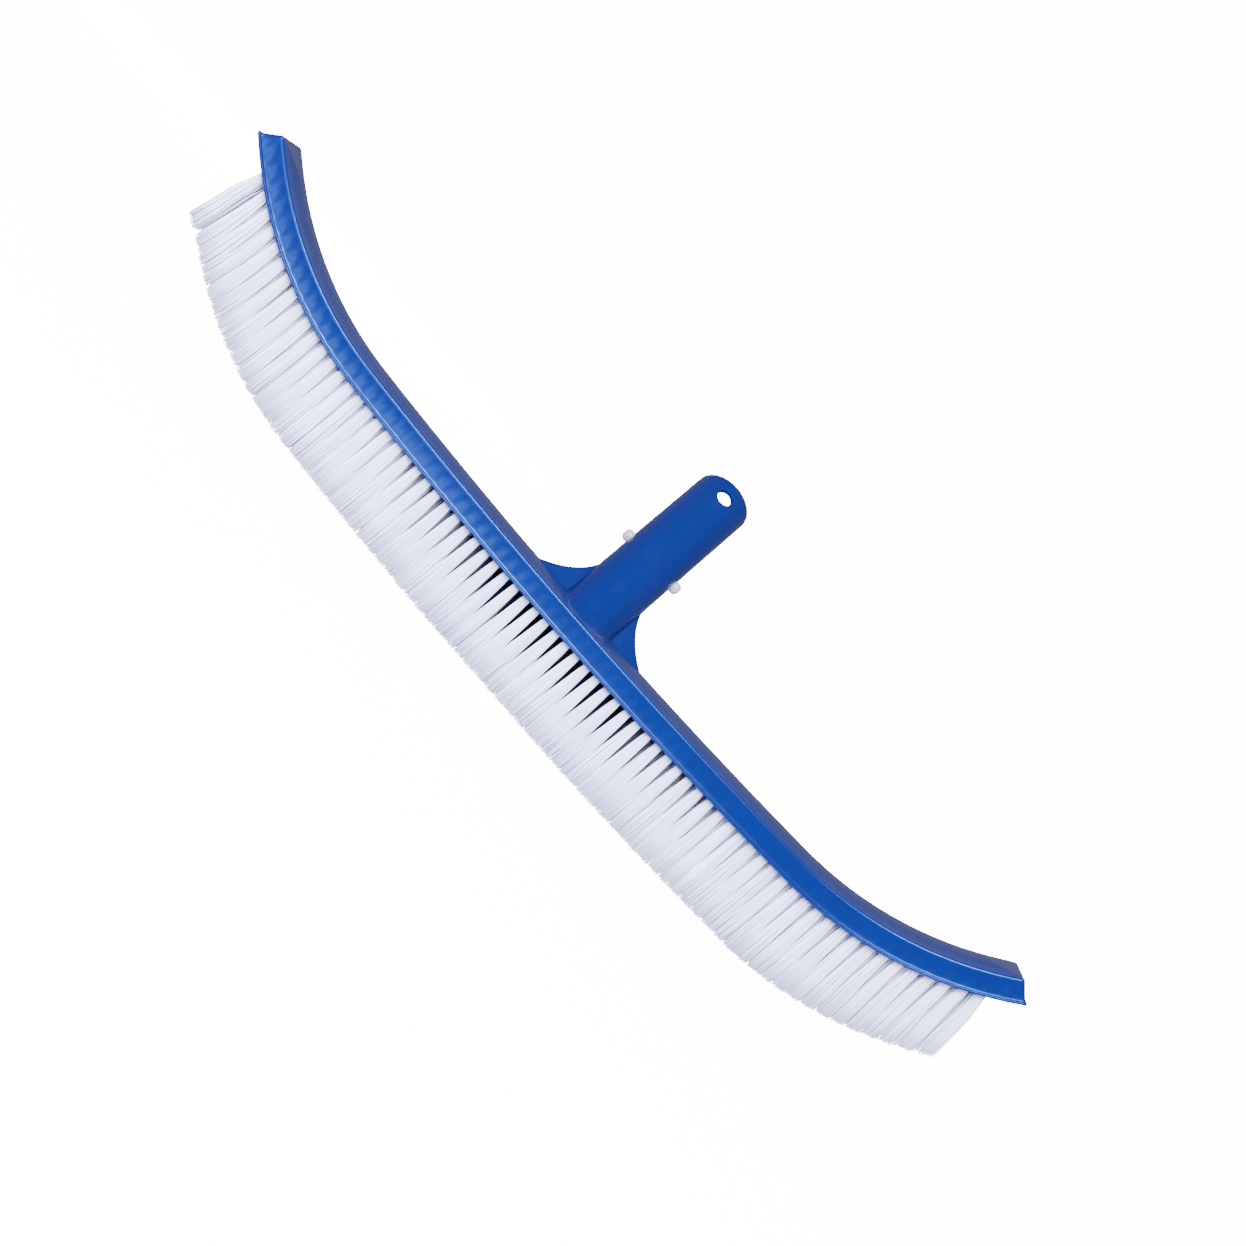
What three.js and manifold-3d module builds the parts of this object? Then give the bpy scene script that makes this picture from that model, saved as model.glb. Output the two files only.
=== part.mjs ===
// Pool wall brush: a bowed, lipped back with a leaning tube handle, rows of bristle tufts,
// and a sprung V-clip inside the tube whose two pins lock the handle into a pole.
// Millimetres, +X along the brush, +Y towards the leaning handle, +Z up from the bristle tips.
import * as THREE from 'three';
import { mergeVertices } from 'three/addons/utils/BufferGeometryUtils.js';
import Module from 'manifold-3d';

// Clearance left between pieces that touch, lie against each other or are fixed together.
const TOUCH_GAP = 0.3;

// The back: crest line bowed gently in the middle and tightly towards both ends.
const MIDDLE_HALF_LENGTH = 137.5;
const MIDDLE_RADIUS = 2480;
const END_RADIUS = 171;
const END_SLOPE = THREE.MathUtils.degToRad(38.9);
const BACK_DEPTH = 46;
const BACK_HEIGHT = 10.8;
const CREST_INSET = 3;
const CREST_RADIUS = 1.4;
const CREST_TURNS = [Math.PI / 4, Math.PI / 2];
const CROWN_RISE = 1.2;
const CROWN_SHARES = [0.3, 0.6];
const LIP_HEIGHT = 1.5;
const LIP_REACH = 2;
const FACE_HOLLOW = 0.7;
const FACE_STEPS = 4;
const MIDDLE_STEPS = 8;
const END_STEPS = 10;

// Bristle tufts: columns and rows spread evenly over the underside, inside a margin all round.
const COLUMNS = 72;
const COLUMNS_PER_BLOCK = 2;
const COLUMN_END_MARGIN = 13.5;
const ROWS = 5;
const ROW_EDGE_MARGIN = 6.5;
const TUFT_ROOT_RADIUS = 2.3;
const TUFT_FLARE_GAP = 0.14;
const TUFT_SIDES = 6;
const BRISTLE_LENGTH = 38.5;
const TIP_TRIM = 0.3;
const MERGE_DEPTH = 19;
const MERGE_OVERLAP = 1;
const END_SPLAY = 3;

// Handle: a round tube leaning back from the top of the back.
const HANDLE_LEAN = THREE.MathUtils.degToRad(43.3);
const HANDLE_ROOT_OFFSET = 3;
const HANDLE_ROOT_RISE = 1;
const HANDLE_LENGTH = 102.2;
const TUBE_RADIUS = 14.25;
const TUBE_WALL = 2.6;
const MOUTH_ROUNDING = 1.1;
const MOUTH_CHAMFER = 0.4;
const BOSS_ABOVE_WEBS = 1;
const ROOT_SINK = 1.5;
const ROOT_FLARE = 1.8;
const ROOT_FLARE_HEIGHT = 8;
const TUBE_SEGMENTS = 36;
const MOUTH_STEPS = 3;
const HANG_HOLE_RADIUS = 3.8;
const HANG_HOLE_FROM_END = 9.4;

// Gusset webs either side of the handle's root.
const WEB_THICKNESS = 3.2;
const WEB_REACH = 34;
const WEB_HEIGHT = 25;
const WEB_BEND = 0.4;
const WEB_STEPS = 8;

// V-clip: a bow near the tube's mouth, two arms along the bore and a pin on each arm.
const CLIP_OFFSET = 0.3;
const PIN_RADIUS = 2.8;
const PIN_PROTRUSION = 3.6;
const PIN_DOME = 1.4;
const PIN_SWING_SHIFT = 0.45;
const PIN_HOLE_CLEARANCE = 0.8;
const CLIP_WIDTH = 9;
const CLIP_THICKNESS = 1.6;
const CLIP_ARM_LENGTH = 34.5;
const CLIP_PIN_TO_PIVOT = 29.1;
const RIVET_RADIUS = 1.5;
const RIVET_HEAD_RADIUS = 3;
const RIVET_HEAD_HEIGHT = 1;
const COLLAR_RADIUS = 3.8;
const COLLAR_HEIGHT = 1;
const COLLAR_CLEARANCE = 0.3;
const SMALL_SEGMENTS = 20;
const BOW_STEPS = 12;
const DOME_STEPS = 4;

// Reach of cutting tools and cutting boxes, well past everything that they cut.
const FAR = 250;

// Sizes that follow from the driving ones.
const JOIN_SLOPE = MIDDLE_HALF_LENGTH / MIDDLE_RADIUS;
const CREST_HEIGHT = BRISTLE_LENGTH - TIP_TRIM + BACK_HEIGHT;
const UNDERSIDE_HALF_LENGTH = (MIDDLE_RADIUS + BACK_HEIGHT) * Math.sin(JOIN_SLOPE)
  + (END_RADIUS + BACK_HEIGHT) * (Math.sin(END_SLOPE) - Math.sin(JOIN_SLOPE));
const COLUMN_PITCH = (2 * (UNDERSIDE_HALF_LENGTH - COLUMN_END_MARGIN)) / (COLUMNS - 1);
const ROW_PITCH = (BACK_DEPTH - 2 * ROW_EDGE_MARGIN) / (ROWS - 1);
const TUFT_FLARE_RADIUS = (COLUMN_PITCH - TUFT_FLARE_GAP) / 2;
const HANDLE_ROOT_Y = BACK_DEPTH / 2 + HANDLE_ROOT_OFFSET;
const BORE_RADIUS = TUBE_RADIUS - TUBE_WALL;
const BOSS_LENGTH = WEB_HEIGHT + BOSS_ABOVE_WEBS;
const COLLAR_OUTER = Math.sqrt((BORE_RADIUS - COLLAR_CLEARANCE) ** 2 - COLLAR_RADIUS ** 2);
const CLIP_HALF_SPAN = COLLAR_OUTER - COLLAR_HEIGHT - TOUCH_GAP - CLIP_THICKNESS / 2;
const CLIP_LENGTH = CLIP_ARM_LENGTH + TOUCH_GAP + CLIP_HALF_SPAN + CLIP_THICKNESS / 2;
const CLIP_FOOT_STATION = (BOSS_LENGTH + HANDLE_LENGTH - CLIP_LENGTH) / 2 - CLIP_OFFSET;
const PIVOT_STATION = CLIP_FOOT_STATION + CLIP_ARM_LENGTH + TOUCH_GAP;
const PIN_STATION = PIVOT_STATION - CLIP_PIN_TO_PIVOT;
const MOUTH_ROOT = HANDLE_LENGTH - MOUTH_ROUNDING;
const REAR_REACH = HANDLE_ROOT_Y + Math.sin(HANDLE_LEAN) * MOUTH_ROOT
  + Math.cos(HANDLE_LEAN) * (TUBE_RADIUS - MOUTH_ROUNDING) + MOUTH_ROUNDING;

const wasm = await Module();
wasm.setup();

const BLUE = { color: 0x1650ae, roughness: 0.32, metalness: 0 };
const WHITE = { color: 0xe6e8f6, roughness: 0.55, metalness: 0 };
const PALE = { color: 0xd7dee1, roughness: 0.4, metalness: 0 };

/** Makes a mesh with a material of its own. */
function makeMesh(name, geometry, look) {
  const mesh = new THREE.Mesh(geometry, new THREE.MeshStandardMaterial(look));
  mesh.name = name;
  return mesh;
}

/** Turns a closed geometry into a solid that can be joined and cut. */
function toSolid(geometry) {
  const bare = geometry.clone();
  bare.deleteAttribute('normal');
  bare.deleteAttribute('uv');
  const merged = mergeVertices(bare, 1e-4);
  return new wasm.Manifold(new wasm.Mesh({
    numProp: 3,
    vertProperties: new Float32Array(merged.attributes.position.array),
    triVerts: new Uint32Array(merged.index.array),
  }));
}

/** Turns a solid back into a geometry. */
function toGeometry(solid) {
  const mesh = solid.getMesh();
  const geometry = new THREE.BufferGeometry();
  geometry.setAttribute('position', new THREE.BufferAttribute(mesh.vertProperties, 3));
  geometry.setIndex(new THREE.BufferAttribute(mesh.triVerts, 1));
  geometry.computeVertexNormals();
  return geometry;
}

/** Skins closed rings of equal point counts, and caps the first and the last ring. */
function loft(rings, capOutline) {
  const count = rings[0].length;
  const indices = [];
  for (let ring = 0; ring + 1 < rings.length; ring += 1) {
    for (let i = 0; i < count; i += 1) {
      const next = (i + 1) % count;
      const a = ring * count + i;
      const b = ring * count + next;
      indices.push(a, b, b + count, a, b + count, a + count);
    }
  }
  const last = (rings.length - 1) * count;
  for (const [a, b, c] of THREE.ShapeUtils.triangulateShape(capOutline, [])) {
    indices.push(a, c, b, last + a, last + b, last + c);
  }
  const geometry = new THREE.BufferGeometry();
  geometry.setAttribute('position', new THREE.Float32BufferAttribute(rings.flat().flat(), 3));
  geometry.setIndex(indices);
  return geometry;
}

/** Gives the bowed line that lies a constant distance below the crest line. */
function bowLine(below) {
  const middle = MIDDLE_RADIUS + below;
  const end = END_RADIUS + below;
  const joinX = middle * Math.sin(JOIN_SLOPE);
  const joinZ = middle * (1 - Math.cos(JOIN_SLOPE)) - below;
  const at = (slope) => {
    const steep = Math.abs(slope);
    if (steep <= JOIN_SLOPE) {
      return [middle * Math.sin(slope), CREST_HEIGHT + middle * (1 - Math.cos(slope)) - below];
    }
    const x = joinX + end * (Math.sin(steep) - Math.sin(JOIN_SLOPE));
    return [Math.sign(slope) * x, CREST_HEIGHT + joinZ + end * (Math.cos(JOIN_SLOPE) - Math.cos(steep))];
  };
  const slopeAt = (x) => {
    const reach = Math.abs(x);
    const sine = reach <= joinX ? reach / middle : (reach - joinX) / end + Math.sin(JOIN_SLOPE);
    return Math.sign(x) * Math.asin(sine);
  };
  return { at, slopeAt, heightAt: (x) => at(slopeAt(x))[1] };
}

const crestLine = bowLine(0);
const undersideLine = bowLine(BACK_HEIGHT);

/** Lists the slopes at which the back's section is drawn, from the left end to the right. */
function backSlopes() {
  const slopes = [];
  for (let i = -MIDDLE_STEPS; i <= MIDDLE_STEPS; i += 1) {
    slopes.push((i / MIDDLE_STEPS) * JOIN_SLOPE);
  }
  for (let i = 1; i <= END_STEPS; i += 1) {
    const slope = JOIN_SLOPE + (i / END_STEPS) * (END_SLOPE - JOIN_SLOPE);
    slopes.push(slope);
    slopes.unshift(-slope);
  }
  return slopes;
}

/** Sweeps a section of [y, height above crest] points along the bow, past its ends by overrun. */
function sweepAlongBow(section, overrun) {
  const ringAt = (slope, along) => {
    const [x, z] = crestLine.at(slope);
    const startX = x + along * Math.cos(slope);
    const startZ = z + along * Math.sin(slope);
    return section.map(([y, up]) => [startX - up * Math.sin(slope), y, startZ + up * Math.cos(slope)]);
  };
  const rings = backSlopes().map((slope) => ringAt(slope, 0));
  if (overrun > 0) {
    rings.unshift(ringAt(-END_SLOPE, -overrun));
    rings.push(ringAt(END_SLOPE, overrun));
  }
  return loft(rings, section.map(([y, up]) => new THREE.Vector2(y, up)));
}

/** Mirrors the front half of a section to the rear and closes it, counterclockwise from +X. */
function mirrorSection(frontHalf) {
  const rearHalf = frontHalf.map(([y, up]) => [BACK_DEPTH - y, up]);
  return [...frontHalf, ...rearHalf.reverse()].reverse();
}

/** Gives the front half of the back's section: lip, hollow front face, round crest, crown. */
function bodySection() {
  const lipTop = LIP_HEIGHT - BACK_HEIGHT;
  const face = new THREE.QuadraticBezierCurve(
    new THREE.Vector2(LIP_REACH / 2, lipTop),
    new THREE.Vector2(CREST_INSET - FACE_HOLLOW / 2, lipTop + FACE_HOLLOW),
    new THREE.Vector2(CREST_INSET, -CREST_RADIUS),
  );
  const points = [[LIP_REACH / 2, -BACK_HEIGHT]];
  points.push(...face.getPoints(FACE_STEPS).map((p) => [p.x, p.y]));
  for (const turn of CREST_TURNS) {
    const y = CREST_INSET + CREST_RADIUS * (1 - Math.cos(turn));
    points.push([y, CREST_RADIUS * (Math.sin(turn) - 1)]);
  }
  const halfTop = BACK_DEPTH / 2 - CREST_INSET - CREST_RADIUS;
  for (const share of CROWN_SHARES) {
    points.push([CREST_INSET + CREST_RADIUS + share * halfTop, CROWN_RISE * (1 - (1 - share) ** 2)]);
  }
  return points;
}

/** Gives the matrix that places the handle's own frame, with its z along the tube. */
function handleMatrix() {
  const matrix = new THREE.Matrix4().makeRotationX(-HANDLE_LEAN);
  return matrix.setPosition(0, HANDLE_ROOT_Y, CREST_HEIGHT + HANDLE_ROOT_RISE);
}

/** Makes a round rod along the handle's z from one station to another, tapered if asked. */
function rodAlongHandle(startRadius, endRadius, start, end, segments) {
  const rod = new THREE.CylinderGeometry(endRadius, startRadius, end - start, segments);
  return rod.rotateX(Math.PI / 2).translate(0, 0, (start + end) / 2);
}

/** Makes the pair of gusset webs as one plate through the handle's axis. */
function webPlate() {
  const shape = new THREE.Shape();
  const below = -TUBE_RADIUS;
  const arc = new THREE.QuadraticBezierCurve(
    new THREE.Vector2(TUBE_RADIUS - TOUCH_GAP, WEB_HEIGHT),
    new THREE.Vector2(TUBE_RADIUS + WEB_THICKNESS, WEB_HEIGHT * WEB_BEND),
    new THREE.Vector2(WEB_REACH, 0),
  ).getPoints(WEB_STEPS);
  shape.moveTo(-WEB_REACH, below);
  shape.lineTo(WEB_REACH, below);
  [...arc].reverse().forEach((p) => shape.lineTo(p.x, p.y));
  arc.forEach((p) => shape.lineTo(-p.x, p.y));
  const plate = new THREE.ExtrudeGeometry(shape, { depth: WEB_THICKNESS, bevelEnabled: false });
  return plate.rotateX(Math.PI / 2).translate(0, WEB_THICKNESS / 2, 0);
}

/** Makes the handle's root: boss, flare and webs, cut level just inside the back's top. */
function handleRoot() {
  const frame = handleMatrix();
  const boss = rodAlongHandle(
    TUBE_RADIUS, TUBE_RADIUS, -TUBE_RADIUS, BOSS_LENGTH - TOUCH_GAP, TUBE_SEGMENTS,
  ).applyMatrix4(frame);
  const flareStep = ROOT_FLARE * TUBE_RADIUS / ROOT_FLARE_HEIGHT;
  const flare = rodAlongHandle(
    TUBE_RADIUS + ROOT_FLARE + flareStep, TUBE_RADIUS - TOUCH_GAP,
    -TUBE_RADIUS, ROOT_FLARE_HEIGHT, TUBE_SEGMENTS,
  ).applyMatrix4(frame);
  const webs = webPlate().applyMatrix4(frame);
  const above = (depth) => toSolid(new THREE.BoxGeometry(FAR, depth, FAR)
    .translate(0, BACK_DEPTH / 2, CREST_HEIGHT - ROOT_SINK + FAR / 2));
  const topOnly = above(BACK_DEPTH - 2 * CREST_INSET - CREST_RADIUS);
  const flareSolid = toSolid(flare).intersect(topOnly);
  return toSolid(boss).add(toSolid(webs)).intersect(above(FAR)).add(flareSolid);
}

/** Makes the back moulding: bowed body, flared lip all round, and the handle's root. */
function makeBack() {
  const body = toSolid(sweepAlongBow(mirrorSection(bodySection()), 0));
  const lipSection = mirrorSection([
    [0, -BACK_HEIGHT],
    [0, LIP_HEIGHT / 2 - BACK_HEIGHT],
    [LIP_REACH / 2, LIP_HEIGHT - BACK_HEIGHT],
  ]);
  const lip = toSolid(sweepAlongBow(lipSection, LIP_REACH));
  return makeMesh('brush_back', toGeometry(body.add(lip).add(handleRoot())), BLUE);
}

/** Makes the handle tube with its open bore, two pin holes and the hole by its mouth. */
function makeTube() {
  const profile = [
    [BORE_RADIUS, BOSS_LENGTH],
    [TUBE_RADIUS, BOSS_LENGTH],
  ];
  for (let i = 0; i <= MOUTH_STEPS; i += 1) {
    const turn = (i / MOUTH_STEPS) * (Math.PI / 2);
    profile.push([
      TUBE_RADIUS - MOUTH_ROUNDING * (1 - Math.cos(turn)),
      MOUTH_ROOT + MOUTH_ROUNDING * Math.sin(turn),
    ]);
  }
  profile.push([BORE_RADIUS + MOUTH_CHAMFER, HANDLE_LENGTH]);
  profile.push([BORE_RADIUS, HANDLE_LENGTH - MOUTH_CHAMFER]);
  profile.push(profile[0]);
  const outline = profile.map(([r, s]) => new THREE.Vector2(r, s));
  const wall = new THREE.LatheGeometry(outline, TUBE_SEGMENTS).rotateX(Math.PI / 2);
  const pinHole = new THREE.CylinderGeometry(
    PIN_RADIUS + PIN_HOLE_CLEARANCE, PIN_RADIUS + PIN_HOLE_CLEARANCE, FAR, SMALL_SEGMENTS,
  ).rotateZ(Math.PI / 2).translate(0, 0, PIN_STATION - PIN_SWING_SHIFT);
  const hangHole = new THREE.CylinderGeometry(
    HANG_HOLE_RADIUS, HANG_HOLE_RADIUS, FAR, SMALL_SEGMENTS,
  ).translate(0, 0, HANDLE_LENGTH - HANG_HOLE_FROM_END);
  const tube = toSolid(wall).subtract(toSolid(pinHole)).subtract(toSolid(hangHole));
  return makeMesh('handle_tube', toGeometry(tube), BLUE);
}

/** Makes the clip's round bow, open towards the arms. */
function makeClipBow() {
  const shape = new THREE.Shape();
  const outer = CLIP_HALF_SPAN + CLIP_THICKNESS / 2;
  shape.absarc(0, 0, outer, 0, Math.PI, false);
  shape.absarc(0, 0, outer - CLIP_THICKNESS, Math.PI, 0, true);
  const bow = new THREE.ExtrudeGeometry(shape, {
    depth: CLIP_WIDTH, bevelEnabled: false, curveSegments: BOW_STEPS,
  });
  bow.rotateX(Math.PI / 2).translate(0, CLIP_WIDTH / 2, PIVOT_STATION);
  return makeMesh('clip_bow', bow, PALE);
}

/** Makes one straight arm of the clip, with the hole for its pin's rivet. */
function makeClipArm(name, side) {
  const start = PIVOT_STATION - TOUCH_GAP;
  const arm = new THREE.BoxGeometry(CLIP_THICKNESS, CLIP_WIDTH, CLIP_ARM_LENGTH)
    .translate(side * CLIP_HALF_SPAN, 0, start - CLIP_ARM_LENGTH / 2);
  const hole = new THREE.CylinderGeometry(
    RIVET_RADIUS + TOUCH_GAP, RIVET_RADIUS + TOUCH_GAP, FAR, SMALL_SEGMENTS,
  ).rotateZ(Math.PI / 2).translate(0, 0, PIN_STATION);
  return makeMesh(name, toGeometry(toSolid(arm).subtract(toSolid(hole))), PALE);
}

/** Makes one snap pin: rivet head, shank through the arm, collar and domed pin. */
function makeSnapPin(name, side) {
  const armInner = CLIP_HALF_SPAN - CLIP_THICKNESS / 2 - TOUCH_GAP;
  const armOuter = CLIP_HALF_SPAN + CLIP_THICKNESS / 2 + TOUCH_GAP;
  const tip = TUBE_RADIUS + PIN_PROTRUSION;
  const profile = [
    [0, armInner - RIVET_HEAD_HEIGHT],
    [RIVET_HEAD_RADIUS, armInner - RIVET_HEAD_HEIGHT],
    [RIVET_HEAD_RADIUS, armInner],
    [RIVET_RADIUS, armInner],
    [RIVET_RADIUS, armOuter],
    [COLLAR_RADIUS, armOuter],
    [COLLAR_RADIUS, armOuter + COLLAR_HEIGHT],
    [PIN_RADIUS, armOuter + COLLAR_HEIGHT],
  ];
  for (let i = 0; i <= DOME_STEPS; i += 1) {
    const turn = (i / DOME_STEPS) * (Math.PI / 2);
    profile.push([PIN_RADIUS * Math.cos(turn), tip - PIN_DOME * (1 - Math.sin(turn))]);
  }
  profile[profile.length - 1][0] = 0;
  const outline = profile.map(([r, out]) => new THREE.Vector2(r, out));
  const pin = new THREE.LatheGeometry(outline, SMALL_SEGMENTS)
    .rotateZ(-side * Math.PI / 2).translate(0, 0, PIN_STATION);
  return makeMesh(name, pin, PALE);
}

/** Gives the sideways lean of a bristle at a share of its length below the root. */
function splayAt(x, share) {
  const slope = undersideLine.slopeAt(x);
  return END_SPLAY * (slope / END_SLOPE) * share;
}

/** Gives the height of the bristle tips under a root at x, trimmed level in the middle. */
function tipHeight(x) {
  return Math.max(undersideLine.heightAt(x) - BRISTLE_LENGTH, 0);
}

/** Makes one tuft's upper part, from its sloped root to where it melts into its neighbours. */
function makeTuftStem(x, y) {
  const outline = [];
  for (let i = 0; i < TUFT_SIDES; i += 1) {
    const turn = ((i + 0.5) / TUFT_SIDES) * 2 * Math.PI;
    outline.push(new THREE.Vector2(Math.cos(turn), Math.sin(turn)));
  }
  const depth = MERGE_DEPTH + MERGE_OVERLAP;
  const shift = splayAt(x, depth / BRISTLE_LENGTH);
  const low = outline.map((p) => {
    const reach = p.x * TUFT_FLARE_RADIUS;
    const z = undersideLine.heightAt(x + reach) - depth;
    return [x + reach + shift, y + p.y * TUFT_FLARE_RADIUS, z];
  });
  const high = outline.map((p) => {
    const reach = p.x * TUFT_ROOT_RADIUS;
    const z = undersideLine.heightAt(x + reach) - TOUCH_GAP;
    return [x + reach, y + p.y * TUFT_ROOT_RADIUS, z];
  });
  return loft([low, high], outline);
}

/** Makes the lower part of a block, where its tufts have flared into one mass. */
function makeBlockFoot(left, right) {
  const half = ((ROWS - 1) * ROW_PITCH) / 2 + TUFT_FLARE_RADIUS + MERGE_OVERLAP;
  const middle = BACK_DEPTH / 2;
  const corner = (x, y, share, z) => [x + splayAt(x, share), y, z];
  const upper = MERGE_DEPTH / BRISTLE_LENGTH;
  const ring = (share, heightOf) => [
    corner(left, middle - half, share, heightOf(left)),
    corner(right, middle - half, share, heightOf(right)),
    corner(right, middle + half, share, heightOf(right)),
    corner(left, middle + half, share, heightOf(left)),
  ];
  const low = ring(1, tipHeight);
  const high = ring(upper, (x) => undersideLine.heightAt(x) - MERGE_DEPTH);
  return loft([low, high], [[0, 0], [1, 0], [1, 1], [0, 1]].map(([u, v]) => new THREE.Vector2(u, v)));
}

/** Gives the centre of a column of tufts along X. */
function columnX(column) {
  return (column - (COLUMNS - 1) / 2) * COLUMN_PITCH;
}

/** Makes one block of tufts: neighbouring columns, every row, melted together at the tips. */
function makeTuftBlock(index) {
  const first = index * COLUMNS_PER_BLOCK;
  const last = first + COLUMNS_PER_BLOCK - 1;
  const edge = (COLUMN_PITCH - TOUCH_GAP) / 2;
  let block = toSolid(makeBlockFoot(columnX(first) - edge, columnX(last) + edge));
  for (let column = first; column <= last; column += 1) {
    for (let row = 0; row < ROWS; row += 1) {
      const y = BACK_DEPTH / 2 + (row - (ROWS - 1) / 2) * ROW_PITCH;
      block = block.add(toSolid(makeTuftStem(columnX(column), y)));
    }
  }
  const name = `tuft_block_${String(index + 1).padStart(2, '0')}`;
  return makeMesh(name, toGeometry(block), WHITE);
}

/** Assembles the handle's own frame: tube, clip and pins. */
function makeHandle() {
  const handle = new THREE.Group();
  handle.applyMatrix4(handleMatrix());
  handle.add(
    makeTube(),
    makeClipBow(),
    makeClipArm('clip_arm_left', -1),
    makeClipArm('clip_arm_right', 1),
    makeSnapPin('snap_pin_left', -1),
    makeSnapPin('snap_pin_right', 1),
  );
  return handle;
}

/** Assembles the brush, centred on its overall depth. */
function makeBrush() {
  const brush = new THREE.Group();
  brush.add(makeBack(), makeHandle());
  for (let index = 0; index < COLUMNS / COLUMNS_PER_BLOCK; index += 1) {
    brush.add(makeTuftBlock(index));
  }
  brush.position.y = -REAR_REACH / 2;
  return brush;
}

export default makeBrush();
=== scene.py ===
"""Looks of a pool wall brush: a blue moulding, bristle filaments and a sprung V-clip with snap pins."""

import logging
import math
from collections.abc import Iterator
from contextlib import contextmanager
from dataclasses import dataclass, field
from enum import Enum

import bmesh
import bpy
import numpy as np
from mathutils import Matrix, Vector


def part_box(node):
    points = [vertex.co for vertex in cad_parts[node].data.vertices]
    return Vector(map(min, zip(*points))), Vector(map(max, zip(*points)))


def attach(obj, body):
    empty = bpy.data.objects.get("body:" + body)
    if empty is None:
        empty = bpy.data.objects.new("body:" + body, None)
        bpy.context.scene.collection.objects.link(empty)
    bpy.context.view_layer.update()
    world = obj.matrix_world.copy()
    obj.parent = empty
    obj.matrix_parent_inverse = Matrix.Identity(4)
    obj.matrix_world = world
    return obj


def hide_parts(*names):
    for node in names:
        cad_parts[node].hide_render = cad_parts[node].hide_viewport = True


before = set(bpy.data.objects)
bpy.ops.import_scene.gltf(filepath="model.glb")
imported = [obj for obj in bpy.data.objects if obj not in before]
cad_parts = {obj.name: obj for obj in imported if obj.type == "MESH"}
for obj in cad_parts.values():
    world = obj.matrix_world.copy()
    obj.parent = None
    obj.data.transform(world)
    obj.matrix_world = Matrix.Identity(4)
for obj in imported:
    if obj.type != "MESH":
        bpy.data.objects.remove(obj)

MM = 0.001

# Sizes that several pieces share, in millimetres.
CREST_HEIGHT = 49.0
BACK_DEPTH = 46.0
BACK_HEIGHT = 10.8
TUFT_PITCH = 6.44

# Edges that turn by less than this many degrees are shaded smooth.
MOULDING_SMOOTH = 32.0
CLIP_SMOOTH = 35.0

# Numbers of the mix node's sockets when it mixes colours.
MIX_FACTOR = 0
MIX_FIRST = 6
MIX_SECOND = 7
MIX_RESULT = 2

WHITE = (1.0, 1.0, 1.0, 1.0)
LOG = logging.getLogger("pool_brush")


class Body(Enum):
    """The rigid bodies that pieces ride on."""

    BRUSH = "brush"
    LEFT_ARM = "left_pin_arm"
    RIGHT_ARM = "right_pin_arm"


class Slot(Enum):
    """The record's material slots."""

    BLUE = "blue_plastic"
    BRISTLE = "white_bristle"
    CLIP = "clip_plastic"
    PIN = "pin_plastic"


class Cut(Enum):
    """The ways of combining two solids."""

    JOIN = "UNION"
    REMOVE = "DIFFERENCE"


# ---------------------------------------------------------------- mesh tools


def mesh_object(name: str, points: np.ndarray, faces: list[list[int]]) -> bpy.types.Object:
    """Makes an object from points in millimetres of the row frame.

    Args:
        name: the object's name.
        points: one row of x, y, z for each vertex.
        faces: vertex numbers of each face, outward side counterclockwise.

    Returns:
        The new object, linked to the scene.
    """
    mesh = bpy.data.meshes.new(name)
    mesh.from_pydata((np.asarray(points, float) * MM).tolist(), [], faces)
    mesh.update()
    made = bpy.data.objects.new(name, mesh)
    bpy.context.scene.collection.objects.link(made)
    return made


def ring_faces(rings: int, count: int, first: int = 0) -> list[list[int]]:
    """Gives the quads between successive closed rings.

    Args:
        rings: how many rings there are.
        count: points in each ring.
        first: number of the first ring's first vertex.

    Returns:
        One list of four vertex numbers for each quad.
    """
    faces = []
    for ring in range(rings - 1):
        for i in range(count):
            j = (i + 1) % count
            a = first + ring * count
            faces.append([a + i, a + j, a + count + j, a + count + i])
    return faces


def end_faces(rings: int, count: int, first: int = 0) -> list[list[int]]:
    """Gives the two faces that close the ends of a stack of rings.

    Args:
        rings: how many rings there are.
        count: points in each ring.
        first: number of the first ring's first vertex.

    Returns:
        The faces that close the first ring and the last.
    """
    last = first + (rings - 1) * count
    return [[first + i for i in range(count)][::-1], [last + i for i in range(count)]]


def circle(radius: float, height: float, turns: list[float], x: float = 0.0, y: float = 0.0) -> list[tuple]:
    """Gives the points of a level circle about x and y, one for each turn."""
    return [(x + radius * math.cos(t), y + radius * math.sin(t), height) for t in turns]


def curve_point(share: float, *corners: tuple[float, float]) -> tuple[float, float]:
    """Gives a point of the curve from its first corner to its third, bent towards the second.

    Args:
        share: how far along the curve the point lies, from 0 to 1.
        corners: the curve's start, bend and end.

    Returns:
        The point.
    """
    weights = ((1 - share) ** 2, 2 * share * (1 - share), share * share)
    first, second = (sum(w * corner[k] for w, corner in zip(weights, corners)) for k in (0, 1))
    return first, second


def lathe(name: str, profile: list[tuple[float, float]], segments: int, place: Matrix) -> bpy.types.Object:
    """Turns a profile that starts and ends on the axis about the local z axis.

    Args:
        name: the object's name.
        profile: radius and height pairs in millimetres, from the low end to the high end.
        segments: sides of the turned shape.
        place: matrix from the local frame to the row frame, in millimetres.

    Returns:
        The closed object.
    """
    turns = np.linspace(0, 2 * math.pi, segments, endpoint=False)
    points = [(0.0, 0.0, profile[0][1])]
    for radius, height in profile[1:-1]:
        points += circle(radius, height, turns)
    points.append((0.0, 0.0, profile[-1][1]))
    faces = [[0, 1 + (i + 1) % segments, 1 + i] for i in range(segments)]
    faces += ring_faces(len(profile) - 2, segments, 1)
    top = 1 + (len(profile) - 3) * segments
    faces += [[len(points) - 1, top + i, top + (i + 1) % segments] for i in range(segments)]
    return mesh_object(name, transform(np.array(points), place), faces)


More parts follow.
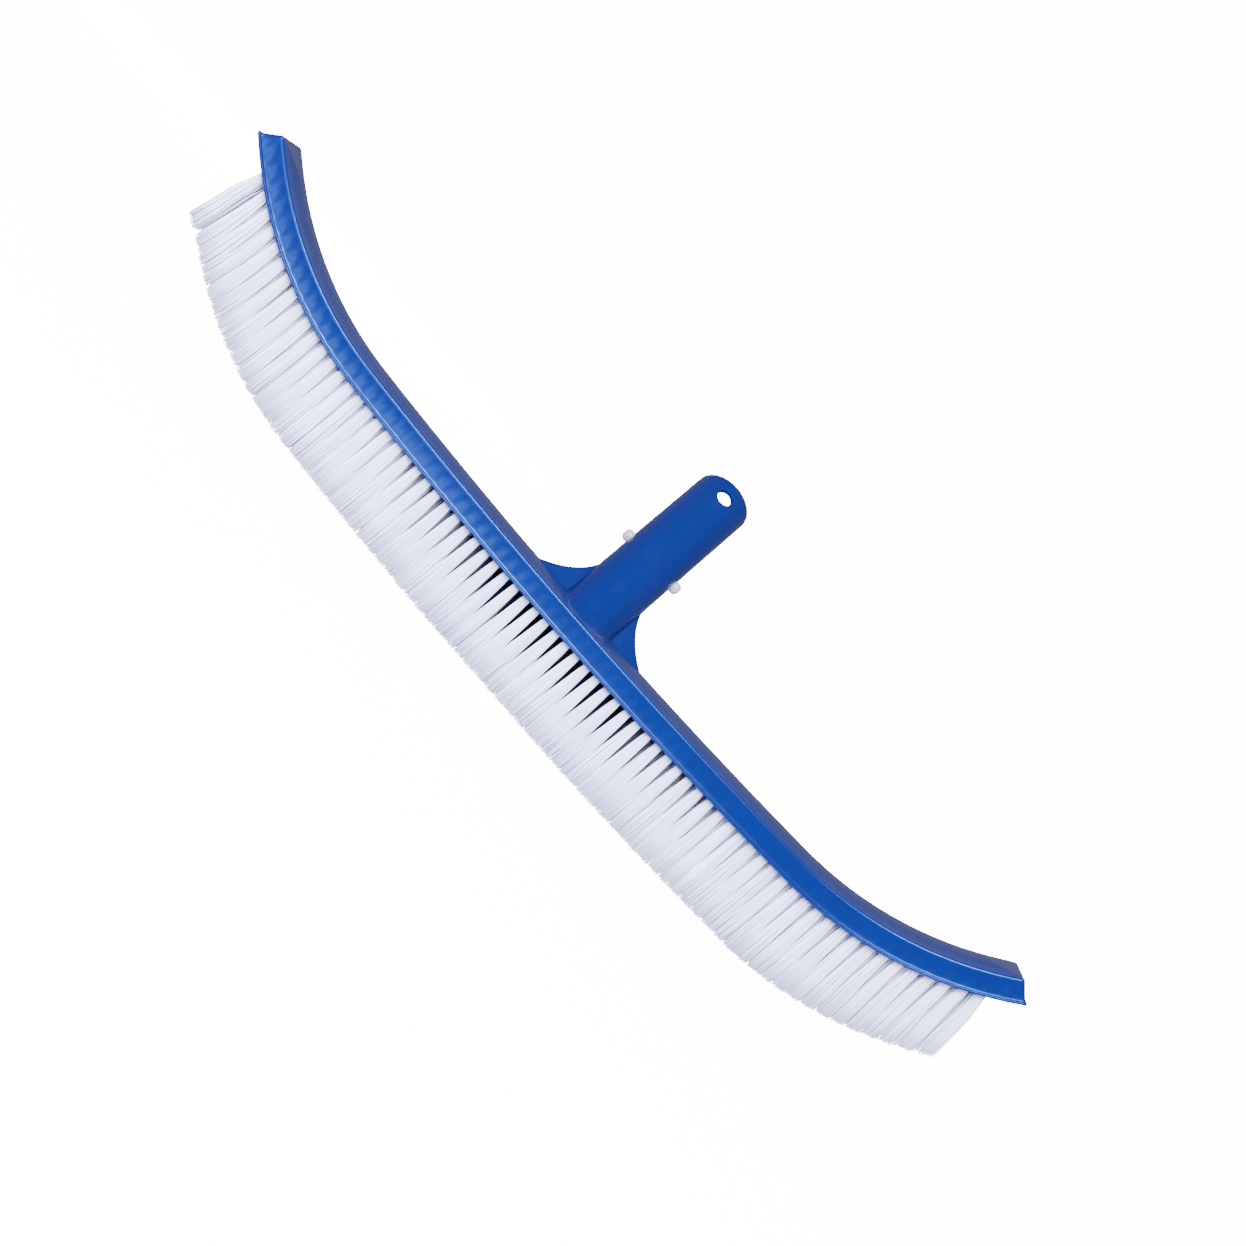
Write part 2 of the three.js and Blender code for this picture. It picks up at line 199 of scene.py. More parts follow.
def transform(points: np.ndarray, place: Matrix) -> np.ndarray:
    """Moves points by a matrix.

    Args:
        points: one row of x, y, z for each point.
        place: the 4 by 4 matrix.

    Returns:
        The moved points.
    """
    matrix = np.array(place)
    return points @ matrix[:3, :3].T + matrix[:3, 3]


def combine(target: bpy.types.Object, tool: bpy.types.Object, cut: Cut) -> None:
    """Joins a tool solid to a target solid, or removes it, and deletes the tool.

    Args:
        target: the solid that is changed.
        tool: the solid that is used up.
        cut: whether to join or to remove.
    """
    step = target.modifiers.new("combine", "BOOLEAN")
    step.operation = cut.value
    step.solver = "MANIFOLD"
    step.object = tool
    apply_modifiers(target)
    bpy.data.objects.remove(tool)


def apply_modifiers(target: bpy.types.Object) -> None:
    """Replaces an object's mesh by its evaluated mesh and clears its modifiers."""
    depsgraph = bpy.context.evaluated_depsgraph_get()
    done = bpy.data.meshes.new_from_object(target.evaluated_get(depsgraph))
    target.modifiers.clear()
    target.data = done


@contextmanager
def opened(target: bpy.types.Object) -> Iterator[bmesh.types.BMesh]:
    """Opens an object's mesh for editing, and writes it back afterwards."""
    shape = bmesh.new()
    shape.from_mesh(target.data)
    yield shape
    shape.to_mesh(target.data)
    shape.free()


def shade_by_angle(target: bpy.types.Object, degrees: float) -> None:
    """Shades an object smooth, with edges sharper than an angle kept hard."""
    target.data.polygons.foreach_set("use_smooth", [True] * len(target.data.polygons))
    target.data.set_sharp_from_angle(angle=math.radians(degrees))


def quarter(steps: int) -> list[tuple[float, float]]:
    """Gives sine and 1 - cosine over a quarter turn, for rounded edges."""
    turns = [i / steps * math.pi / 2 for i in range(steps + 1)]
    return [(math.sin(t), 1 - math.cos(t)) for t in turns]


# ---------------------------------------------------------------- shader tools


class NodeSheet:
    """A node tree with short calls for adding and linking nodes."""

    def __init__(self, tree: bpy.types.NodeTree) -> None:
        """Keeps the tree that nodes are added to."""
        self.tree = tree

    def add(self, kind: str, settings: dict | None = None, **inputs: object) -> bpy.types.Node:
        """Adds a node.

        Args:
            kind: the node's type name.
            settings: the node's own properties.
            inputs: socket names, with underscores for spaces, and their values or output sockets.

        Returns:
            The new node.
        """
        node = self.tree.nodes.new(kind)
        for name, value in (settings or {}).items():
            setattr(node, name, value)
        for name, value in inputs.items():
            self.feed(node.inputs[name.replace("_", " ")], value)
        return node

    def feed(self, socket: bpy.types.NodeSocket, value: object) -> None:
        """Links an output socket to an input socket, or sets the input's value."""
        if isinstance(value, bpy.types.NodeSocket):
            self.tree.links.new(value, socket)
        else:
            socket.default_value = value

    def math(self, operation: str, first: object, second: object = 0.0) -> bpy.types.NodeSocket:
        """Adds a math node that doesn't clamp, and returns its output."""
        node = self.tree.nodes.new("ShaderNodeMath")
        node.operation = operation
        self.feed(node.inputs[0], first)
        self.feed(node.inputs[1], second)
        return node.outputs[0]

    def scaled(self, value: object, factor: float, offset: float) -> bpy.types.NodeSocket:
        """Adds a value times a factor plus an offset, and returns its output."""
        result = self.math("MULTIPLY_ADD", value, factor)
        result.node.inputs[2].default_value = offset
        return result

    def ramp(self, value: object, low: float, high: float) -> bpy.types.NodeSocket:
        """Adds a smooth map of low..high to 0..1 and returns its output."""
        node = self.tree.nodes.new("ShaderNodeMapRange")
        node.interpolation_type = "SMOOTHSTEP"
        self.feed(node.inputs["Value"], value)
        node.inputs["From Min"].default_value = low
        node.inputs["From Max"].default_value = high
        return node.outputs["Result"]

    def mix(self, factor: object, first: object, second: object) -> bpy.types.NodeSocket:
        """Adds a colour mix and returns its output."""
        node = self.tree.nodes.new("ShaderNodeMix")
        node.data_type = "RGBA"
        self.feed(node.inputs[MIX_FACTOR], factor)
        self.feed(node.inputs[MIX_FIRST], first)
        self.feed(node.inputs[MIX_SECOND], second)
        return node.outputs[MIX_RESULT]

    def place(self) -> bpy.types.NodeSocket:
        """Adds the object's own coordinates and returns them."""
        return self.add("ShaderNodeTexCoord").outputs["Object"]

    def attribute(self, name: str) -> bpy.types.NodeSocket:
        """Adds a value stored on the mesh and returns it."""
        return self.add("ShaderNodeAttribute", {"attribute_name": name}).outputs["Fac"]

    def noise(
        self, vector: object, scale: float, detail: float = 3.0, roughness: float = 0.5
    ) -> bpy.types.NodeSocket:
        """Adds a noise texture and returns its value."""
        node = self.add("ShaderNodeTexNoise", Scale=scale, Detail=detail, Roughness=roughness)
        self.feed(node.inputs["Vector"], vector)
        return node.outputs["Fac"]

    def stretched(self, vector: object, scale: tuple[float, float, float]) -> bpy.types.NodeSocket:
        """Scales a coordinate by three factors and returns it."""
        return self.add("ShaderNodeMapping", Scale=scale, Vector=vector).outputs["Vector"]


def new_material(name: str) -> tuple[bpy.types.Material, NodeSheet, bpy.types.Node]:
    """Makes a material and returns it with its node sheet and its shader node."""
    material = bpy.data.materials.new(name)
    material.use_nodes = True
    return material, NodeSheet(material.node_tree), material.node_tree.nodes["Principled BSDF"]


class EffectGroup:
    """A shader node group that is built once and placed in several materials."""

    name = "effect"
    inputs: tuple[tuple[str, float], ...] = ()
    outputs: tuple[str, ...] = ()

    def __init__(self) -> None:
        """Builds the group's sockets and nodes."""
        self.group = bpy.data.node_groups.new(self.name, "ShaderNodeTree")
        sockets = self.group.interface
        for label, value in self.inputs:
            socket = sockets.new_socket(name=label, in_out="INPUT", socket_type="NodeSocketFloat")
            socket.default_value = value
        for label in self.outputs:
            sockets.new_socket(name=label, in_out="OUTPUT", socket_type="NodeSocketFloat")
        self.sheet = NodeSheet(self.group)
        self.entry = self.group.nodes.new("NodeGroupInput")
        self.exit = self.group.nodes.new("NodeGroupOutput")
        self.build()

    def build(self) -> None:
        """Adds the group's nodes between its entry and its exit."""
        raise NotImplementedError

    def place(self, sheet: NodeSheet, **values: float) -> bpy.types.Node:
        """Places the group in a material.

        Args:
            sheet: the material's node sheet.
            values: input names, with underscores for spaces, and their values.

        Returns:
            The group's node.
        """
        node = sheet.tree.nodes.new("ShaderNodeGroup")
        node.node_tree = self.group
        for label, value in values.items():
            node.inputs[label.replace("_", " ")].default_value = value
        return node


class EdgeWear(EffectGroup):
    """Masks the outside edges that handling has rubbed pale."""

    name = "edge_wear"
    inputs = (("Start", 0.53), ("Full", 0.6), ("Breakup", 90.0))
    outputs = ("Mask",)
    gaps = (0.4, 0.62)

    def build(self) -> None:
        """Takes the convex edges and breaks them up with noise."""
        sheet = self.sheet
        pointiness = sheet.add("ShaderNodeNewGeometry").outputs["Pointiness"]
        edge = sheet.add("ShaderNodeMapRange", Value=pointiness)
        sheet.feed(edge.inputs["From Min"], self.entry.outputs["Start"])
        sheet.feed(edge.inputs["From Max"], self.entry.outputs["Full"])
        place = sheet.place()
        grain = sheet.add("ShaderNodeTexNoise", Vector=place, Detail=4.0)
        sheet.feed(grain.inputs["Scale"], self.entry.outputs["Breakup"])
        broken = sheet.ramp(grain.outputs["Fac"], *self.gaps)
        sheet.feed(self.exit.inputs["Mask"], sheet.math("MULTIPLY", edge.outputs["Result"], broken))


class MouldGrain(EffectGroup):
    """Gives the fine pebble and slow waviness of a moulded skin."""

    name = "mould_grain"
    inputs = (("Fine scale", 1400.0), ("Wave scale", 45.0))
    outputs = ("Fine", "Wave")

    def build(self) -> None:
        """Adds one fine and one slow noise."""
        sheet = self.sheet
        place = sheet.place()
        for label, source, detail in (("Fine", "Fine scale", 2.0), ("Wave", "Wave scale", 3.0)):
            noise = sheet.add("ShaderNodeTexNoise", Vector=place, Detail=detail)
            sheet.feed(noise.inputs["Scale"], self.entry.outputs[source])
            sheet.feed(self.exit.inputs[label], noise.outputs["Fac"])


class Scuffs(EffectGroup):
    """Masks thin scratches that run mostly along the brush."""

    name = "scuffs"
    inputs = (("Coverage", 0.5),)
    outputs = ("Mask",)
    stretch = (60.0, 900.0, 1400.0)
    thin = (0.62, 0.74)
    patch_scale = 28.0
    patches = (0.45, 0.65)

    def build(self) -> None:
        """Stretches noise into streaks and keeps them inside slow patches."""
        sheet = self.sheet
        place = sheet.place()
        streak = sheet.noise(sheet.stretched(place, self.stretch), 1.0, 4.0, 0.6)
        thin = sheet.ramp(streak, *self.thin)
        patch = sheet.ramp(sheet.noise(place, self.patch_scale, 2.0), *self.patches)
        kept = sheet.math("MULTIPLY", thin, patch)
        sheet.feed(self.exit.inputs["Mask"], sheet.math("MULTIPLY", kept, self.entry.outputs["Coverage"]))


class Dust(EffectGroup):
    """Masks the pale film that settles on upward faces and in hollows."""

    name = "dust"
    inputs = (("Amount", 0.3),)
    outputs = ("Mask",)
    hollows = (0.5, 0.44)
    upward = (0.2, 1.0)
    blotch_scale = 60.0
    blotches = (0.42, 0.7)

    def build(self) -> None:
        """Combines upward facing, hollows and blotches."""
        sheet = self.sheet
        geometry = sheet.add("ShaderNodeNewGeometry")
        upward = sheet.add("ShaderNodeSeparateXYZ", Vector=geometry.outputs["Normal"]).outputs["Z"]
        hollow = sheet.ramp(geometry.outputs["Pointiness"], *self.hollows)
        place = sheet.place()
        blotch = sheet.ramp(sheet.noise(place, self.blotch_scale, 5.0, 0.65), *self.blotches)
        settled = sheet.math("MULTIPLY", sheet.ramp(upward, *self.upward), blotch)
        both = sheet.math("MAXIMUM", settled, hollow)
        sheet.feed(self.exit.inputs["Mask"], sheet.math("MULTIPLY", both, self.entry.outputs["Amount"]))


@dataclass
class EffectShelf:
    """The shared effect groups, built once."""

    wear: EdgeWear = field(default_factory=EdgeWear)
    grain: MouldGrain = field(default_factory=MouldGrain)
    scuffs: Scuffs = field(default_factory=Scuffs)
    dust: Dust = field(default_factory=Dust)


@dataclass(frozen=True)
class MouldedPlastic:
    """A moulded plastic with grain, worn edges, scuffs and a little dust."""

    name: str
    colour: tuple[float, float, float]
    deep: tuple[float, float, float]
    worn: tuple[float, float, float]
    roughness: float
    roughness_swing: float = 0.05
    scuff_roughness: float = 0.35
    dust_roughness: float = 0.4
    grain_height: float = 0.05
    scuff_depth: float = 0.05
    bump_strength: float = 0.35
    bump_distance: float = 0.0006
    wear: float = 0.4
    scuff: float = 0.4
    scuff_paleness: float = 0.5
    dust: float = 0.15
    dust_colour: tuple[float, float, float] = (0.62, 0.64, 0.66)
    subsurface: float = 0.0
    subsurface_radius: tuple[float, float, float] = (0.004, 0.004, 0.005)
    ior: float = 1.49
    gloss: float = 0.5
    waviness: float = 0.15
    gloss_tint: tuple[float, float, float] = (1.0, 1.0, 1.0)

    def build(self, effects: EffectShelf) -> bpy.types.Material:
        """Builds the material.

        Args:
            effects: the shared effect groups.

        Returns:
            The material.
        """
        material, sheet, shader = new_material(self.name)
        grain = effects.grain.place(sheet)
        worn = sheet.math("MULTIPLY", effects.wear.place(sheet).outputs["Mask"], self.wear)
        scuffed = effects.scuffs.place(sheet, Coverage=self.scuff).outputs["Mask"]
        dusty = effects.dust.place(sheet, Amount=self.dust).outputs["Mask"]
        tone = sheet.ramp(grain.outputs["Wave"], 0.3, 0.7)
        base = sheet.mix(tone, (*self.deep, 1.0), (*self.colour, 1.0))
        rubbed = sheet.math("MAXIMUM", worn, sheet.math("MULTIPLY", scuffed, self.scuff_paleness))
        aged = sheet.mix(rubbed, base, (*self.worn, 1.0))
        sheet.feed(shader.inputs["Base Color"], sheet.mix(dusty, aged, (*self.dust_colour, 1.0)))
        smoothest = self.roughness - self.roughness_swing / 2
        rough = sheet.scaled(grain.outputs["Wave"], self.roughness_swing, smoothest)
        rough = sheet.math("ADD", rough, sheet.math("MULTIPLY", scuffed, self.scuff_roughness))
        rough = sheet.math("ADD", rough, sheet.math("MULTIPLY", dusty, self.dust_roughness))
        sheet.feed(shader.inputs["Roughness"], rough)
        height = sheet.math("MULTIPLY", grain.outputs["Fine"], self.grain_height)
        height = sheet.math("ADD", height, sheet.math("MULTIPLY", grain.outputs["Wave"], self.waviness))
        height = sheet.math("SUBTRACT", height, sheet.math("MULTIPLY", scuffed, self.scuff_depth))
        bump = sheet.add(
            "ShaderNodeBump", Strength=self.bump_strength, Distance=self.bump_distance, Height=height
        )
        sheet.feed(shader.inputs["Normal"], bump.outputs["Normal"])
        shader.inputs["Subsurface Weight"].default_value = self.subsurface
        shader.inputs["Subsurface Radius"].default_value = self.subsurface_radius
        shader.inputs["IOR"].default_value = self.ior
        shader.inputs["Specular IOR Level"].default_value = self.gloss
        shader.inputs["Specular Tint"].default_value = (*self.gloss_tint, 1.0)
        return material


BLUE_PLASTIC = MouldedPlastic(
    Slot.BLUE.value,
    colour=(0.006, 0.0155, 0.155),
    deep=(0.0055, 0.0145, 0.146),
    worn=(0.03, 0.07, 0.28),
    roughness=0.23,
    gloss=0.4,
    gloss_tint=(0.1, 0.32, 1.0),
    dust=0.006,
    scuff=0.15,
    wear=0.25,
    waviness=0.03,
)
CLIP_PLASTIC = MouldedPlastic(
    Slot.CLIP.value,
    colour=(0.58, 0.62, 0.65),
    deep=(0.52, 0.56, 0.59),
    worn=(0.76, 0.78, 0.8),
    roughness=0.42,
    subsurface=0.2,
)
PIN_PLASTIC = MouldedPlastic(
    Slot.PIN.value,
    colour=(0.58, 0.63, 0.7),
    deep=(0.52, 0.57, 0.64),
    worn=(0.72, 0.75, 0.8),
    roughness=0.35,
    subsurface=0.3,
)


@dataclass(frozen=True)
class FilamentNylon:
    """White filament with a tone of its own, with painted shade that darkens it towards the root, and
    near-black painted shade at the roots of the inner rows in the middle of the brush.
    """

    name: str = "white_filament"
    tip: tuple[float, float, float] = (0.7, 0.72, 0.99)
    shade: tuple[float, float, float] = (0.6, 0.62, 0.94)
    # Painted shade: a darker colour towards every filament's root, standing in for the shade under the
    # back.
    root: tuple[float, float, float] = (0.55, 0.58, 0.86)
    # Painted shade: near-black colour painted on the roots of the inner rows, standing in for the shade
    # between the tufts.
    painted_shade: tuple[float, float, float] = (0.008, 0.008, 0.02)
    streak_scale: tuple[float, float, float] = (1500.0, 1500.0, 160.0)
    streaks: tuple[float, float] = (0.25, 0.6)
    root_shade_until: tuple[float, float] = (0.32, 0.12)
    painted_shade_until: tuple[float, float] = (0.85, 0.45)
    roughness: float = 0.36
    roughness_swing: float = 0.2
    bump_strength: float = 0.2
    bump_distance: float = 0.0001
    gloss: float = 0.3

    def build(self) -> bpy.types.Material:
        """Builds the material.

        Returns:
            The material.
        """
        material, sheet, shader = new_material(self.name)
        tone = sheet.attribute("tone")
        along = sheet.attribute("along")
        streak = sheet.noise(sheet.stretched(sheet.place(), self.streak_scale), 1.0, 3.0)
        mixed = sheet.math("MULTIPLY", tone, sheet.ramp(streak, *self.streaks))
        body = sheet.mix(mixed, (*self.shade, 1.0), (*self.tip, 1.0))
        # Painted shade towards the root of every filament.
        root_shade_mask = sheet.ramp(along, *self.root_shade_until)
        root_shaded = sheet.mix(root_shade_mask, body, (*self.root, 1.0))
        # Painted shade: inner-row roots are darkened towards near black by the per-filament 'depth' value.
        painted_shade_mask = sheet.math("MULTIPLY", sheet.attribute("depth"), sheet.ramp(along, *self.painted_shade_until))
        sheet.feed(shader.inputs["Base Color"], sheet.mix(painted_shade_mask, root_shaded, (*self.painted_shade, 1.0)))
        rough = sheet.scaled(streak, self.roughness_swing, self.roughness)
        sheet.feed(shader.inputs["Roughness"], rough)
        bump = sheet.add(
            "ShaderNodeBump", Strength=self.bump_strength, Distance=self.bump_distance, Height=streak
        )
        sheet.feed(shader.inputs["Normal"], bump.outputs["Normal"])
        shader.inputs["Specular IOR Level"].default_value = self.gloss
        return material


@dataclass(frozen=True)
class FloorPaper:
    """Plain pale paper with a faint tooth."""

    name: str = "floor_paper"
    colour: tuple[float, float, float] = (0.9, 0.9, 0.9)
    tooth_colour: tuple[float, float, float] = (0.95, 0.95, 0.95)
    tooth_scale: float = 300.0
    roughness: float = 0.95
    gloss: float = 0.1
    glow: float = 14.0

    def build(self) -> bpy.types.Material:
        """Builds the material.

        Returns:
            The material.
        """
        material, sheet, shader = new_material(self.name)
        tooth = sheet.noise(sheet.place(), self.tooth_scale, 4.0)
        pale = sheet.mix(tooth, (*self.colour, 1.0), (*self.tooth_colour, 1.0))
        sheet.feed(shader.inputs["Base Color"], pale)
        shader.inputs["Roughness"].default_value = self.roughness
        shader.inputs["Specular IOR Level"].default_value = self.gloss
        seen = sheet.add("ShaderNodeLightPath").outputs["Is Camera Ray"]
        shader.inputs["Emission Color"].default_value = WHITE
        sheet.feed(shader.inputs["Emission Strength"], sheet.math("MULTIPLY", seen, self.glow))
        return material


# ---------------------------------------------------------------- the brush


@dataclass
class BowLine:
    """The bowed crest line: a shallow arc in the middle and a tighter one at each end. Millimetres."""

    crest_height: float
    middle_half: float = 137.5
    middle_radius: float = 2480.0
    end_radius: float = 171.0
    end_slope: float = math.radians(38.9)

    @property
    def join_slope(self) -> float:
        """The slope where the two arcs meet."""
        return self.middle_half / self.middle_radius

    @property
    def half_length(self) -> float:
        """The crest's length along the bow, from the middle to an end."""
        return self.middle_half + self.end_radius * (self.end_slope - self.join_slope)

    def slope_along(self, along: np.ndarray) -> np.ndarray:
        """Gives the slope at distances along the crest.

        Args:
            along: signed distances from the middle, in millimetres.

        Returns:
            The signed slopes, held at the end slope past the ends.
        """
        reach = np.abs(along)
        near = reach / self.middle_radius
        far = self.join_slope + (reach - self.middle_half) / self.end_radius
        return np.sign(along) * np.minimum(np.where(reach < self.middle_half, near, far), self.end_slope)

    def point(self, along: np.ndarray, up: np.ndarray) -> tuple[np.ndarray, np.ndarray]:
        """Gives x and z of points at distances along the crest and heights above it.

        Args:
            along: signed distances from the middle, in millimetres.
            up: heights above the crest line, square to it.

        Returns:
            The x and z values.
        """
        slope = self.slope_along(along)
        steep = np.abs(slope)
        past = np.maximum(np.abs(along) - self.half_length, 0.0)
        outer = self.end_radius * (np.sin(steep) - math.sin(self.join_slope))
        x = np.where(
            steep <= self.join_slope,
            self.middle_radius * np.sin(steep),
            self.middle_radius * math.sin(self.join_slope) + outer,
        )
        rise = self.end_radius * (math.cos(self.join_slope) - np.cos(steep))
        z = np.where(
            steep <= self.join_slope,
            self.middle_radius * (1 - np.cos(steep)),
            self.middle_radius * (1 - math.cos(self.join_slope)) + rise,
        )
        x = np.sign(along) * (x + past * np.cos(steep)) - up * np.sin(slope)
        z = self.crest_height + z + past * np.sin(steep) + up * np.cos(slope)
        return x, z

    def slope_under(self, x: np.ndarray, below: float) -> np.ndarray:
        """Gives the slope of the parallel line that lies below the crest, at given x.

        Args:
            x: signed x values.
            below: distance of the parallel line below the crest.

        Returns:
            The signed slopes.
        """
        middle = self.middle_radius + below
        end = self.end_radius + below
        join = middle * math.sin(self.join_slope)
        reach = np.abs(x)
        sine = np.where(reach <= join, reach / middle, (reach - join) / end + math.sin(self.join_slope))
        return np.sign(x) * np.arcsin(sine)

    def height_under(self, x: np.ndarray, below: float) -> np.ndarray:
        """Gives the height of the parallel line that lies below the crest, at given x.

        Args:
            x: signed x values.
            below: distance of the parallel line below the crest.

        Returns:
            The heights in the row frame.
        """
        slope = np.abs(self.slope_under(x, below))
        middle = self.middle_radius + below
        end = self.end_radius + below
        rise = middle * (1 - math.cos(self.join_slope)) + end * (math.cos(self.join_slope) - np.cos(slope))
        drop = np.where(slope <= self.join_slope, middle * (1 - np.cos(slope)), rise)
        return self.crest_height - below + drop


@dataclass
class HandleFrame:
    """The frame of the leaning tube, with its z along the tube. Millimetres."""

    front: float
    crest_height: float
    lean: float = math.radians(43.3)
    root_y: float = 26.0
    root_rise: float = 1.0

    def matrix(self) -> Matrix:
        """Gives the matrix from the tube's frame to the row frame."""
        place = Vector((0.0, self.front + self.root_y, self.crest_height + self.root_rise))
        return Matrix.Translation(place) @ Matrix.Rotation(-self.lean, 4, "X")


@dataclass
class BackMoulding:
    """The blue moulding: bowed back, flared lip, tube handle and gusset webs. Millimetres."""

    bow: BowLine
    handle: HandleFrame
    finish: bpy.types.Material
    # The back: its section's rounded crest line and the low crown behind it.
    depth: float = BACK_DEPTH
    height: float = BACK_HEIGHT
    corner_radius: float = 1.4
    crest_inset: float = 3.0
    crest_radius: float = 2.0
    crest_steps: int = 5
    crown_rise: float = 2.1
    crown_shares: tuple[float, ...] = (0.06, 0.16, 0.3, 0.5, 0.72, 0.93)
    # The flared lip round the underside, and how far it reaches out past the crest at the ends.
    lip_height: float = 1.3
    lip_reach: float = 2.0
    lip_wall: float = 1.4
    underside_recess: float = 0.8
    # The lip's inner side: inset past the lip's wall, and share of the recess.
    lip_inside: tuple[tuple[float, float], ...] = ((0.3, 1.0), (0.0, 0.75), (-0.2, 0.125), (-0.4, 0.0))
    # The lip's lower edge: inset, and height above the rim.
    lip_foot: tuple[tuple[float, float], ...] = ((0.3, 0.0), (0.08, 0.12), (0.0, 0.35))
    # The lip's upper edge: inset, and height above the lip's top.
    lip_shoulder: tuple[tuple[float, float], ...] = (
        (0.0, -0.8), (0.06, -0.5), (0.22, -0.24), (0.46, -0.06), (0.78, 0.04), (1.05, 0.12),
    )
    # Where the concave face starts and bends: inset, and height above the lip's top.
    face_foot: tuple[float, float] = (1.2, 0.35)
    face_bend: tuple[float, float] = (2.05, 3.2)
    face_steps: int = 8
    # The shallow flutes, pressed in between the columns of tufts, and deeper towards the left end.
    flute_depth: float = 0.14
    flute_depth_left: float = 0.34
    flute_fade: float = 150.0
    flute_pitch: float = TUFT_PITCH
    flute_fullness: float = 0.7
    # Points along a long side, along an end and round a corner of each ring.
    long_steps: int = 320
    side_steps: int = 14
    corner_steps: int = 5
    # The handle tube, with a solid boss at its root and a blind bore from its mouth.
    tube_radius: float = 14.25
    tube_wall: float = 2.6
    tube_length: float = 102.2
    tube_stations: tuple[float, ...] = (44.0, 60.0, 78.0, 90.0)
    tube_sides: int = 96
    boss_length: float = 26.0
    boss_rounding: float = 1.0
    boss_middle: float = 0.4
    # The mouth's rounded outer edge and chamfered inner edge.
    mouth_rounding: float = 1.1
    mouth_steps: int = 6
    mouth_chamfer: float = 0.4
    # The fillet round the root: widest at the sides, small at the front, none at the rear.
    root_fillet: float = 4.5
    root_lift: float = 0.05
    root_run: float = 4.0
    fillet_steps: int = 8
    front_fillet: float = 1.3
    rear_fillet: float = 0.0
    root_sink: float = 0.5
    rear_sink: float = 7.0
    # The gusset webs, which sink into the back and the tube so that they join as one.
    web_thickness: float = 3.2
    web_reach: float = 34.0
    web_height: float = 25.0
    web_bend: float = 0.4
    web_steps: int = 18
    web_overlap: float = 0.5
    web_overrun: float = 2.0
    web_sink: float = 3.2
    web_toe: float = 0.6
    web_rounding: float = 0.7
    # The holes: two for the pins, one through both walls by the mouth, and one for each tuft.
    pin_station: float = 46.95
    pin_hole_radius: float = 3.6
    hang_hole_radius: float = 3.8
    hang_station: float = 92.8
    cutter_overrun: float = 6.0
    flare_depth: float = 0.9
    # A hole's flared edge: widening, and distance outside the depth where the flare starts.
    flare_profile: tuple[tuple[float, float], ...] = ((0.65, 0.75), (0.2, 0.2), (0.0, -0.3))
    tuft_hole_depth: float = 7.0
    tuft_hole_start: float = 4.5
    tuft_hole_sides: int = 14

    def levels(self) -> list[tuple[float, float, float]]:
        """Lists the outside of the section, from the underside's rim over lip and face to the crown.

        Returns:
            Inset from the lip's edge, height above the crest line, and share of the flutes, one each level.
        """
        bottom = -self.height
        lip_top = bottom + self.lip_height
        recess = self.underside_recess
        levels = [(self.lip_wall + inset, bottom + share * recess, 0.0) for inset, share in self.lip_inside]
        levels += [(inset, bottom + up, 0.0) for inset, up in self.lip_foot]
        levels += [(inset, lip_top + up, 0.0) for inset, up in self.lip_shoulder]
        foot = (self.face_foot[0], lip_top + self.face_foot[1])
        bend = (self.face_bend[0], lip_top + self.face_bend[1])
        for i in range(self.face_steps + 1):
            share = i / self.face_steps
            inset, up = curve_point(share, foot, bend, (self.crest_inset, -self.crest_radius))
            fluted = math.sin(math.pi * share) ** self.flute_fullness if 0 < i < self.face_steps else 0.0
            levels.append((inset, up, fluted))
        for sine, fall in quarter(self.crest_steps)[1:]:
            inset = self.crest_inset + self.crest_radius * fall
            levels.append((inset, self.crest_radius * (sine - 1), 0.0))
        half = self.depth / 2 - self.crest_inset - self.crest_radius
        for share in self.crown_shares:
            rise = self.crown_rise * (1 - (1 - share) ** 2)
            levels.append((self.crest_inset + self.crest_radius + share * half, rise, 0.0))
        return levels

    def outline(self, inset: float, up: float, flute: float) -> np.ndarray:
        """Gives one closed ring of the back at a level.

        Args:
            inset: distance in from the lip's edge at front and rear.
            up: height above the crest line.
            flute: share of the flutes' depth pressed into the long faces.

        Returns:
            The ring's points, counterclockwise from above.
        """
        end = self.bow.half_length + self.lip_reach * (1 - min(inset / self.crest_inset, 1.0))
        end -= max(inset - self.crest_inset, 0.0)
        radius = self.corner_radius
        run = np.linspace(-(end - radius), end - radius, self.long_steps)
        low, high = inset, self.depth - inset
        corner = np.linspace(0, math.pi / 2, self.corner_steps + 2)[1:-1]
        side = np.linspace(low + radius, high - radius, self.side_steps)
        at_end = np.full(self.side_steps, end)
        turn_x = end - radius + radius * np.sin(corner)
        turn_y = radius * (1 - np.cos(corner))
        along = np.concatenate([
            run, turn_x, at_end, turn_x[::-1],
            run[::-1], -turn_x, -at_end, -turn_x[::-1],
        ])
        y = np.concatenate([
            np.full(self.long_steps, low), low + turn_y, side, (high - turn_y)[::-1],
            np.full(self.long_steps, high), high - turn_y, side[::-1], (low + turn_y)[::-1],
        ])
        x, z = self.bow.point(along, np.full_like(along, up))
        deeper = np.clip(-x / self.flute_fade, 0.0, 1.0) * (self.flute_depth_left - self.flute_depth)
        press = 0.5 * (1 + np.cos(2 * math.pi * x / self.flute_pitch)) * (self.flute_depth + deeper) * flute
        order = np.arange(len(along))
        half = len(along) // 2
        front = order < self.long_steps
        rear = (order >= half) & (order < half + self.long_steps)
        y = y + np.where(front, press, 0.0) - np.where(rear, press, 0.0)
        return np.stack([x, y + self.handle.front, z], axis=1)

    def cap(self, first: int, upward: bool) -> list[list[int]]:
        """Closes a ring with a strip of quads across the back and a fan at each end.

        Args:
            first: number of the ring's first vertex.
            upward: whether the cap faces up.

        Returns:
            The cap's faces.
        """
        half = self.long_steps + 2 * self.corner_steps + self.side_steps
        faces = []
        for i in range(self.long_steps - 1):
            across = half + self.long_steps - 1 - i
            faces.append([first + i, first + i + 1, first + across - 1, first + across])
        faces.append([first + i for i in range(self.long_steps - 1, half + 1)])
        faces.append([first + i % (2 * half) for i in range(half + self.long_steps - 1, 2 * half + 1)])
        return faces if upward else [face[::-1] for face in faces]

